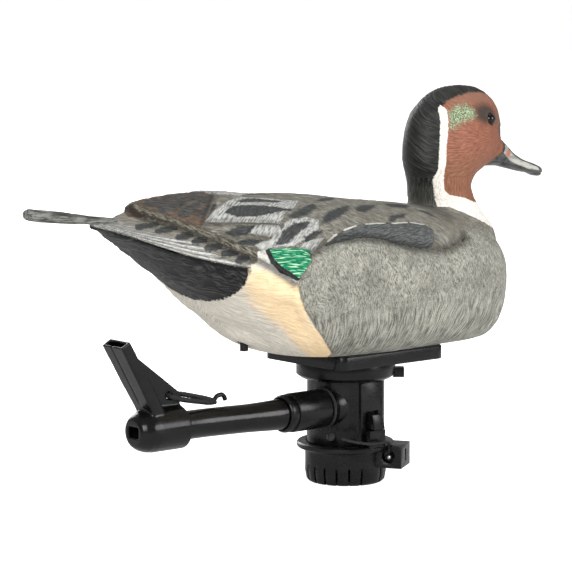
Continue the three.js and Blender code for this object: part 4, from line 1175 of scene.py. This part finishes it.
def sprig_paint():
    p = Paint("sprig_paint")
    strokes = p.noise(p.scaled(p.place, (0.12, 0.8, 0.8)), 1.0, 3.0, 0.6)
    broad = p.noise(p.scaled(p.place, (0.03, 0.3, 0.3)), 1.0)
    shaft = p.coat(strokes, 0.38, 0.62, (58, 59, 56), (128, 128, 123))
    vane = p.coat(broad, 0.4, 0.6, (36, 36, 34), (66, 66, 62))
    colour = p.mix(p.step(p.stored("dark"), 0.25, 0.8), shaft, vane)
    return p.finish(colour, 0.55, p.bumps(strokes, 0.4, 0.7), specular=0.35)


def moulded_black(name, light=0, shine=0.27, grain=0.9):
    """Black moulded plastic: a fine grain, faint flow marks and handling wear that changes the gloss."""
    p = Paint(name)
    flow = p.noise(p.scaled(p.place, (0.4, 0.4, 1.2)), 9.0, 3.0, 0.6)
    scuffs = p.step(p.noise(p.place, 3.2, 4.0, 0.7, 1.5), 0.58, 0.74)
    base = p.coat(flow, 0.3, 0.7, (8 + light,) * 3, (16 + light,) * 3)
    colour = p.mix(p.times(scuffs, 0.25), base, rgb(38, 39, 38))
    dulling = p.times(p.math("SUBTRACT", flow, 0.5), 0.3)
    roughness = p.total(shine, dulling, p.times(scuffs, 0.12))
    normal = p.bumps(p.total(p.noise(p.place, grain, 2.0, 0.6), p.times(flow, 2.0)), 0.09, 0.5)
    return p.finish(colour, roughness, normal, specular=0.26)


def cord_cover():
    p = Paint("cord_cover")
    wave = p.add("ShaderNodeTexWave", wave_type="BANDS", bands_direction="DIAGONAL")
    p.put(wave.inputs["Vector"], p.place)
    wave.inputs["Scale"].default_value = 0.42
    wave.inputs["Distortion"].default_value = 1.2
    lay = wave.outputs["Fac"]
    return p.finish(p.mix(lay, rgb(9, 9, 10), rgb(34, 35, 37)), 0.6, p.bumps(lay, 0.25, 0.8), specular=0.4)


def rubber():
    p = Paint("rubber")
    fine = p.noise(p.place, 0.7, 3.0, 0.6)
    colour = p.coat(p.noise(p.place, 5.0), 0.35, 0.65, (20, 20, 21), (34, 34, 35))
    return p.finish(colour, p.line(fine, 0.2, 0.55), p.bumps(fine, 0.08, 0.6), specular=0.35)


def metal(name, colour, roughness):
    p = Paint(name)
    lathe = p.noise(p.scaled(p.place, (0.3, 0.3, 4.0)), 1.0, 3.0, 0.6)
    bright = rgb(*colour)
    tone = p.mix(p.step(lathe, 0.3, 0.7), bright, tuple(c * 0.8 for c in bright))
    return p.finish(tone, p.line(lathe, 0.15, roughness), p.bumps(lathe, 0.03, 0.5), metallic=1.0)


def plain_plastic(name, colour, darker, roughness=0.45):
    p = Paint(name)
    tone = p.coat(p.noise(p.place, 7.0, 3.0, 0.6), 0.35, 0.65, colour, darker)
    fine = p.noise(p.place, 0.8)
    return p.finish(tone, p.line(fine, 0.15, roughness), p.bumps(fine, 0.06, 0.5))


def board_green():
    p = Paint("board_green")
    grid = p.add("ShaderNodeTexBrick")
    p.put(grid.inputs["Vector"], p.place)
    grid.inputs["Scale"].default_value = 0.35
    tracks = p.coat(p.noise(p.place, 2.5, 1.0), 0.5, 0.54, (18, 82, 50), (34, 112, 70))
    return p.finish(tracks, 0.35, p.bumps(grid.outputs["Fac"], 0.03, 0.4))


def eye_glass():
    p = Paint("eye_glass")
    cloud = p.noise(p.place, 1.5)
    colour = p.coat(cloud, 0.4, 0.6, (6, 5, 5), (18, 12, 8))
    return p.finish(colour, p.line(cloud, 0.04, 0.04), specular=0.35)


def cover(obj, material):
    obj.data.materials.clear()
    obj.data.materials.append(material)
    return material


def dress_nodes(finishes):
    """Gives each CAD node that stays in view its slot's material and softened edges."""
    slots = {s["node"]: s["material_slot"] for s in frame["record"]["subparts"]}
    for name, obj in nodes.items():
        if obj.hide_render:
            continue
        if not obj.material_slots:
            obj.data.materials.append(None)
        for slot in obj.material_slots:
            slot.material = finishes[slots[name]]
        obj.data.polygons.foreach_set("use_smooth", [True] * len(obj.data.polygons))
        weld = obj.modifiers.new("weld", "WELD")
        weld.merge_threshold = 0.01 * MM
        bevel = obj.modifiers.new("rounded_edges", "BEVEL")
        bevel.width = 0.45 * MM
        bevel.segments = 2
        bevel.limit_method = "ANGLE"
        bevel.angle_limit = math.radians(32)
        bevel.use_clamp_overlap = True
        bevel.harden_normals = True


# ---------- finer pieces in the places of CAD nodes


def copy_node(name, new_name):
    """A loose copy of a CAD node's mesh, welded closed, for reworking into a finer piece."""
    obj = bpy.data.objects.new(new_name, nodes[name].data.copy())
    bpy.context.scene.collection.objects.link(obj)
    obj.data.materials.clear()
    weld = obj.modifiers.new("weld", "WELD")
    weld.merge_threshold = 0.005 * MM
    return settle(obj)


def make_nozzle():
    """The nozzle with the moulded fillets between its spout, gusset and barrel."""
    skin = fuse(copy_node("nozzle", "nozzle_skin"), 0.55)
    sharp = read(skin)
    skin = soften(skin, 5, 0.6)
    crisp = read(skin)
    rounder = read(soften(skin, 60, 0.6))
    at_foot = bump(np.hypot((sharp[:, 0] + 182) / 22, (sharp[:, 2] - 74) / 12), 1)
    write(skin, held(crisp, rounder, 1 - at_foot))
    points = read(skin)
    x, y, z = points.T
    behind_spout = x < -176.5 - (z - 66) * 0.585
    parting_line = bump(np.abs(y - 1.0), 0.8) * behind_spout * ease(z, 76, 82)
    carve(skin, -0.55 * parting_line)
    return stand_in(skin, "nozzle", "nozzle")


def sweep(name, path, radius, sides, bore=None):
    """A closed round tube, or a hollow one, along a path of points."""
    path = np.asarray(path, float)
    ahead = np.gradient(path, axis=0)
    ahead /= np.linalg.norm(ahead, axis=1)[:, None]
    side = np.cross(ahead, (0.0, 0.0, 1.0))
    side /= np.maximum(np.linalg.norm(side, axis=1), 1e-6)[:, None]
    up = np.cross(side, ahead)
    turn = circle(sides)
    radius = np.broadcast_to(np.asarray(radius, float), len(path))
    ring = np.cos(turn)[None, :, None] * side[:, None] + np.sin(turn)[None, :, None] * up[:, None]
    outer = path[:, None] + ring * radius[:, None, None]
    if bore is None:
        return loft(name, outer)
    rings = np.concatenate([outer, (path[:, None] + ring * bore)[::-1]])
    return new_object(name, rings.reshape(-1, 3), tube_faces(len(rings), sides, closed=True))


def make_hose():
    """The discharge hose: straight at both ends, with an easy S-bend to the middle of the duck."""
    low, high = box_mm("discharge_hose")
    arm_z = (low[2] + high[2]) / 2
    outer = (high[2] - low[2]) / 2
    x = np.linspace(high[0], low[0], 110)
    share = ease(-x, *HOSE_BEND)
    start_y, end_y = low[1] + outer, high[1] - outer
    path = np.stack([x, start_y + (end_y - start_y) * share, np.full_like(x, arm_z)], 1)
    slack = HOSE_SLACK * (1 - ease(x, *HOSE_STRETCH))
    hose = sweep("hose_skin", path, outer - slack, 72, outer - HOSE_WALL)
    return stand_in(hose, "root", "discharge_hose", angle=40)


def make_link():
    """The doubled cord from the gusset's hole to the small hook, and the hook itself."""
    strands = []
    for side in (-1, 1):
        path = [(x, y * side, z + lift * side) for x, y, z, lift in CORD_PATH]
        strands.append(sweep("strand", smooth_path(path, 90), 1.8, 20))
    cord = fuse(join("link_cord", strands), 0.4)
    lay = np.sin(read(cord) @ (2.6, 1.6, 1.2))
    carve(cord, 0.16 * lay)
    hook = fuse(sweep("hook_wire", smooth_path(HOOK_PATH, 60), 1.7, 28), 0.3)
    return (
        stand_in(cord, "hook", "hook_loop"),
        stand_in(hook, "hook", "line_hook"),
    )


def smooth_path(points, count):
    """Evenly spaced points on a smooth curve through the given ones."""
    points = np.asarray(points, float)
    along = np.append(0, np.cumsum(np.linalg.norm(np.diff(points, axis=0), axis=1)))
    read_at = smooth_table([(s, *p) for s, p in zip(along, points)])
    return read_at(np.linspace(0, along[-1], count))


def make_sprig():
    """The long tail feathers: a slim twin quill that swells towards a rounded tip."""
    low, high = box_mm("tail_sprig")
    base_x, tip_x = high[0], low[0]
    base_z, tip_z = SPRIG_RISE
    size = 72
    turn = circle(size)
    rings = []
    for t in 1 - np.cos(np.linspace(0, math.pi / 2, 100)):
        along = math.sin(t * math.pi / 2)
        round_tip = math.sqrt(max(1 - max((along - 0.93) / 0.0702, 0) ** 2, 0.0004))
        half_y = 5.7 * (0.86 + 0.18 * float(ease(along, 0.3, 0.75))) * round_tip
        half_z = (2.9 + 1.3 * float(ease(along, 0.3, 0.7))) * round_tip
        x = base_x + (tip_x - base_x) * along
        y = half_y * signed_power(np.cos(turn), 0.85)
        z = base_z + (tip_z - base_z) * along + half_z * signed_power(np.sin(turn), 0.9)
        rings.append(np.stack([np.full(size, x), y, z], 1))
    skin = fuse(loft("sprig_skin", rings), 0.5)
    points = read(skin)
    x, y, z = points.T
    top = (z - base_z) - (tip_z - base_z) * (base_x - x) / (base_x - tip_x)
    split = bump(np.abs(y), 0.7) * (top > 0)
    vane = sum(bump(line_distance(points[:, :2], [(-212, 2.6 * s), (-270, 3.0 * s)]), 0.8) for s in (1, -1))
    strokes = noise(points * (0.12, 0.9, 0.9), 1, 33) * 0.25
    carve(skin, strokes - 0.6 * split + 0.35 * vane * (top > 0))
    dark = ease(top, 0.3, 2.2) * ease(-x, 212, 232) * (1 - ease(-x, 262, 276))
    store(skin, "dark", dark * (0.7 + 0.5 * noise(points * (0.08, 0.4, 0.4), 1, 35)))
    return stand_in(skin, "root", "tail_sprig")


def make_eyes(material):
    size = 64
    turn = circle(size)
    for name in ("eye_right", "eye_left"):
        low, high = box_mm(name)
        half = (high - low) / 2
        rings = []
        for t in np.linspace(0.02, math.pi - 0.02, 40):
            x = np.sin(t) * np.cos(turn) * half[0]
            z = np.sin(t) * np.sin(turn) * half[2]
            rings.append(np.stack([x, np.full(size, np.cos(t) * half[1]), z], 1) + (low + high) / 2)
        ball = loft("glass_" + name, rings)
        cover(stand_in(ball, "root", name), material)


# ---------- build

body = make_body()
head = make_head()
sprig = make_sprig()
nozzle = make_nozzle()
hose = make_hose()
link_cord, hook_wire = make_link()

finishes = {
    "black_plastic": moulded_black("black_moulding"),
    "black_rubber": rubber(),
    "black_cord": cord_cover(),
    "steel": metal("brushed_steel", (186, 189, 193), 0.28),
    "motor_can": metal("motor_can", (168, 171, 175), 0.35),
    "white_plastic": plain_plastic("white_nylon", (216, 216, 210), (196, 195, 188)),
    "board": board_green(),
    "battery_wrap": plain_plastic("battery_wrap", (44, 78, 132), (36, 66, 116), 0.3),
    "wire": plain_plastic("wire_jacket", (150, 42, 34), (124, 34, 28), 0.4),
    "eye": eye_glass(),
    "hull_paint": cover(body, hull_paint()),
    "head_paint": cover(head, head_paint()),
    "tail_paint": cover(sprig, sprig_paint()),
}
cover(nozzle, moulded_black("nozzle_moulding", shine=0.24))
cover(hose, moulded_black("hose_vinyl", light=-3, shine=0.2, grain=1.6))
cover(link_cord, finishes["black_cord"])
cover(hook_wire, finishes["black_plastic"])
make_eyes(finishes["eye"])
dress_nodes(finishes)

# ---------- stage, light and camera


def make_stage():
    reach = 9000
    floor = box_solid("floor", (-reach, -reach, -6.0), (reach, reach, -0.3))
    p = Paint("pale_floor")
    cloud = p.noise(p.place, 400.0, 2.0)
    p.finish(p.mix(cloud, (0.90, 0.90, 0.90), (0.93, 0.93, 0.93)), 0.9, specular=0.1)
    seen = p.times(p.add("ShaderNodeLightPath").outputs["Is Camera Ray"], 0.9)
    p.put(p.surface.inputs["Emission Color"], (1.0, 1.0, 1.0))
    p.put(p.surface.inputs["Emission Strength"], seen)
    floor.data.materials.append(p.material)


def aimed(obj, place, aim):
    obj.location = place
    obj.rotation_euler = (Vector(aim) - Vector(place)).to_track_quat("-Z", "Y").to_euler()


def area_light(name, place, size, power):
    lamp = bpy.data.lights.new(name, "AREA")
    lamp.shape = "DISK"
    lamp.size = size
    lamp.energy = power
    obj = bpy.data.objects.new(name, lamp)
    bpy.context.scene.collection.objects.link(obj)
    aimed(obj, place, (-0.03, 0.0, 0.16))


def make_light():
    world = bpy.data.worlds.new("studio")
    bpy.context.scene.world = world
    world.use_nodes = True
    tree = world.node_tree
    seen = tree.nodes.new("ShaderNodeLightPath")
    level = tree.nodes.new("ShaderNodeMapRange")
    tree.links.new(seen.outputs["Is Camera Ray"], level.inputs["Value"])
    level.inputs["To Min"].default_value = 0.36
    level.inputs["To Max"].default_value = 1.0
    backdrop = tree.nodes["Background"]
    backdrop.inputs["Color"].default_value = (1, 1, 1, 1)
    tree.links.new(level.outputs["Result"], backdrop.inputs["Strength"])
    for name, place, size, power in (
        ("key", (-1.9, -1.5, 1.2), 1.3, 44),
        ("fill", (0.9, -2.0, 0.9), 1.2, 30),
        ("top", (0.2, 0.3, 2.3), 1.4, 7),
        ("far_side", (0.3, 2.4, 1.0), 1.4, 26),
    ):
        area_light(name, place, size, power)
    bpy.context.scene.view_settings.view_transform = "Standard"


def make_camera():
    camera = bpy.data.cameras.new("camera")
    camera.lens = 151.0
    camera.sensor_width = 36.0
    camera.clip_end = 50
    obj = bpy.data.objects.new("camera", camera)
    bpy.context.scene.collection.objects.link(obj)
    aimed(obj, (-1.183, -1.340, 0.367), (-0.0345, 0.0289, 0.1472))
    bpy.context.scene.camera = obj


make_stage()
make_light()
make_camera()
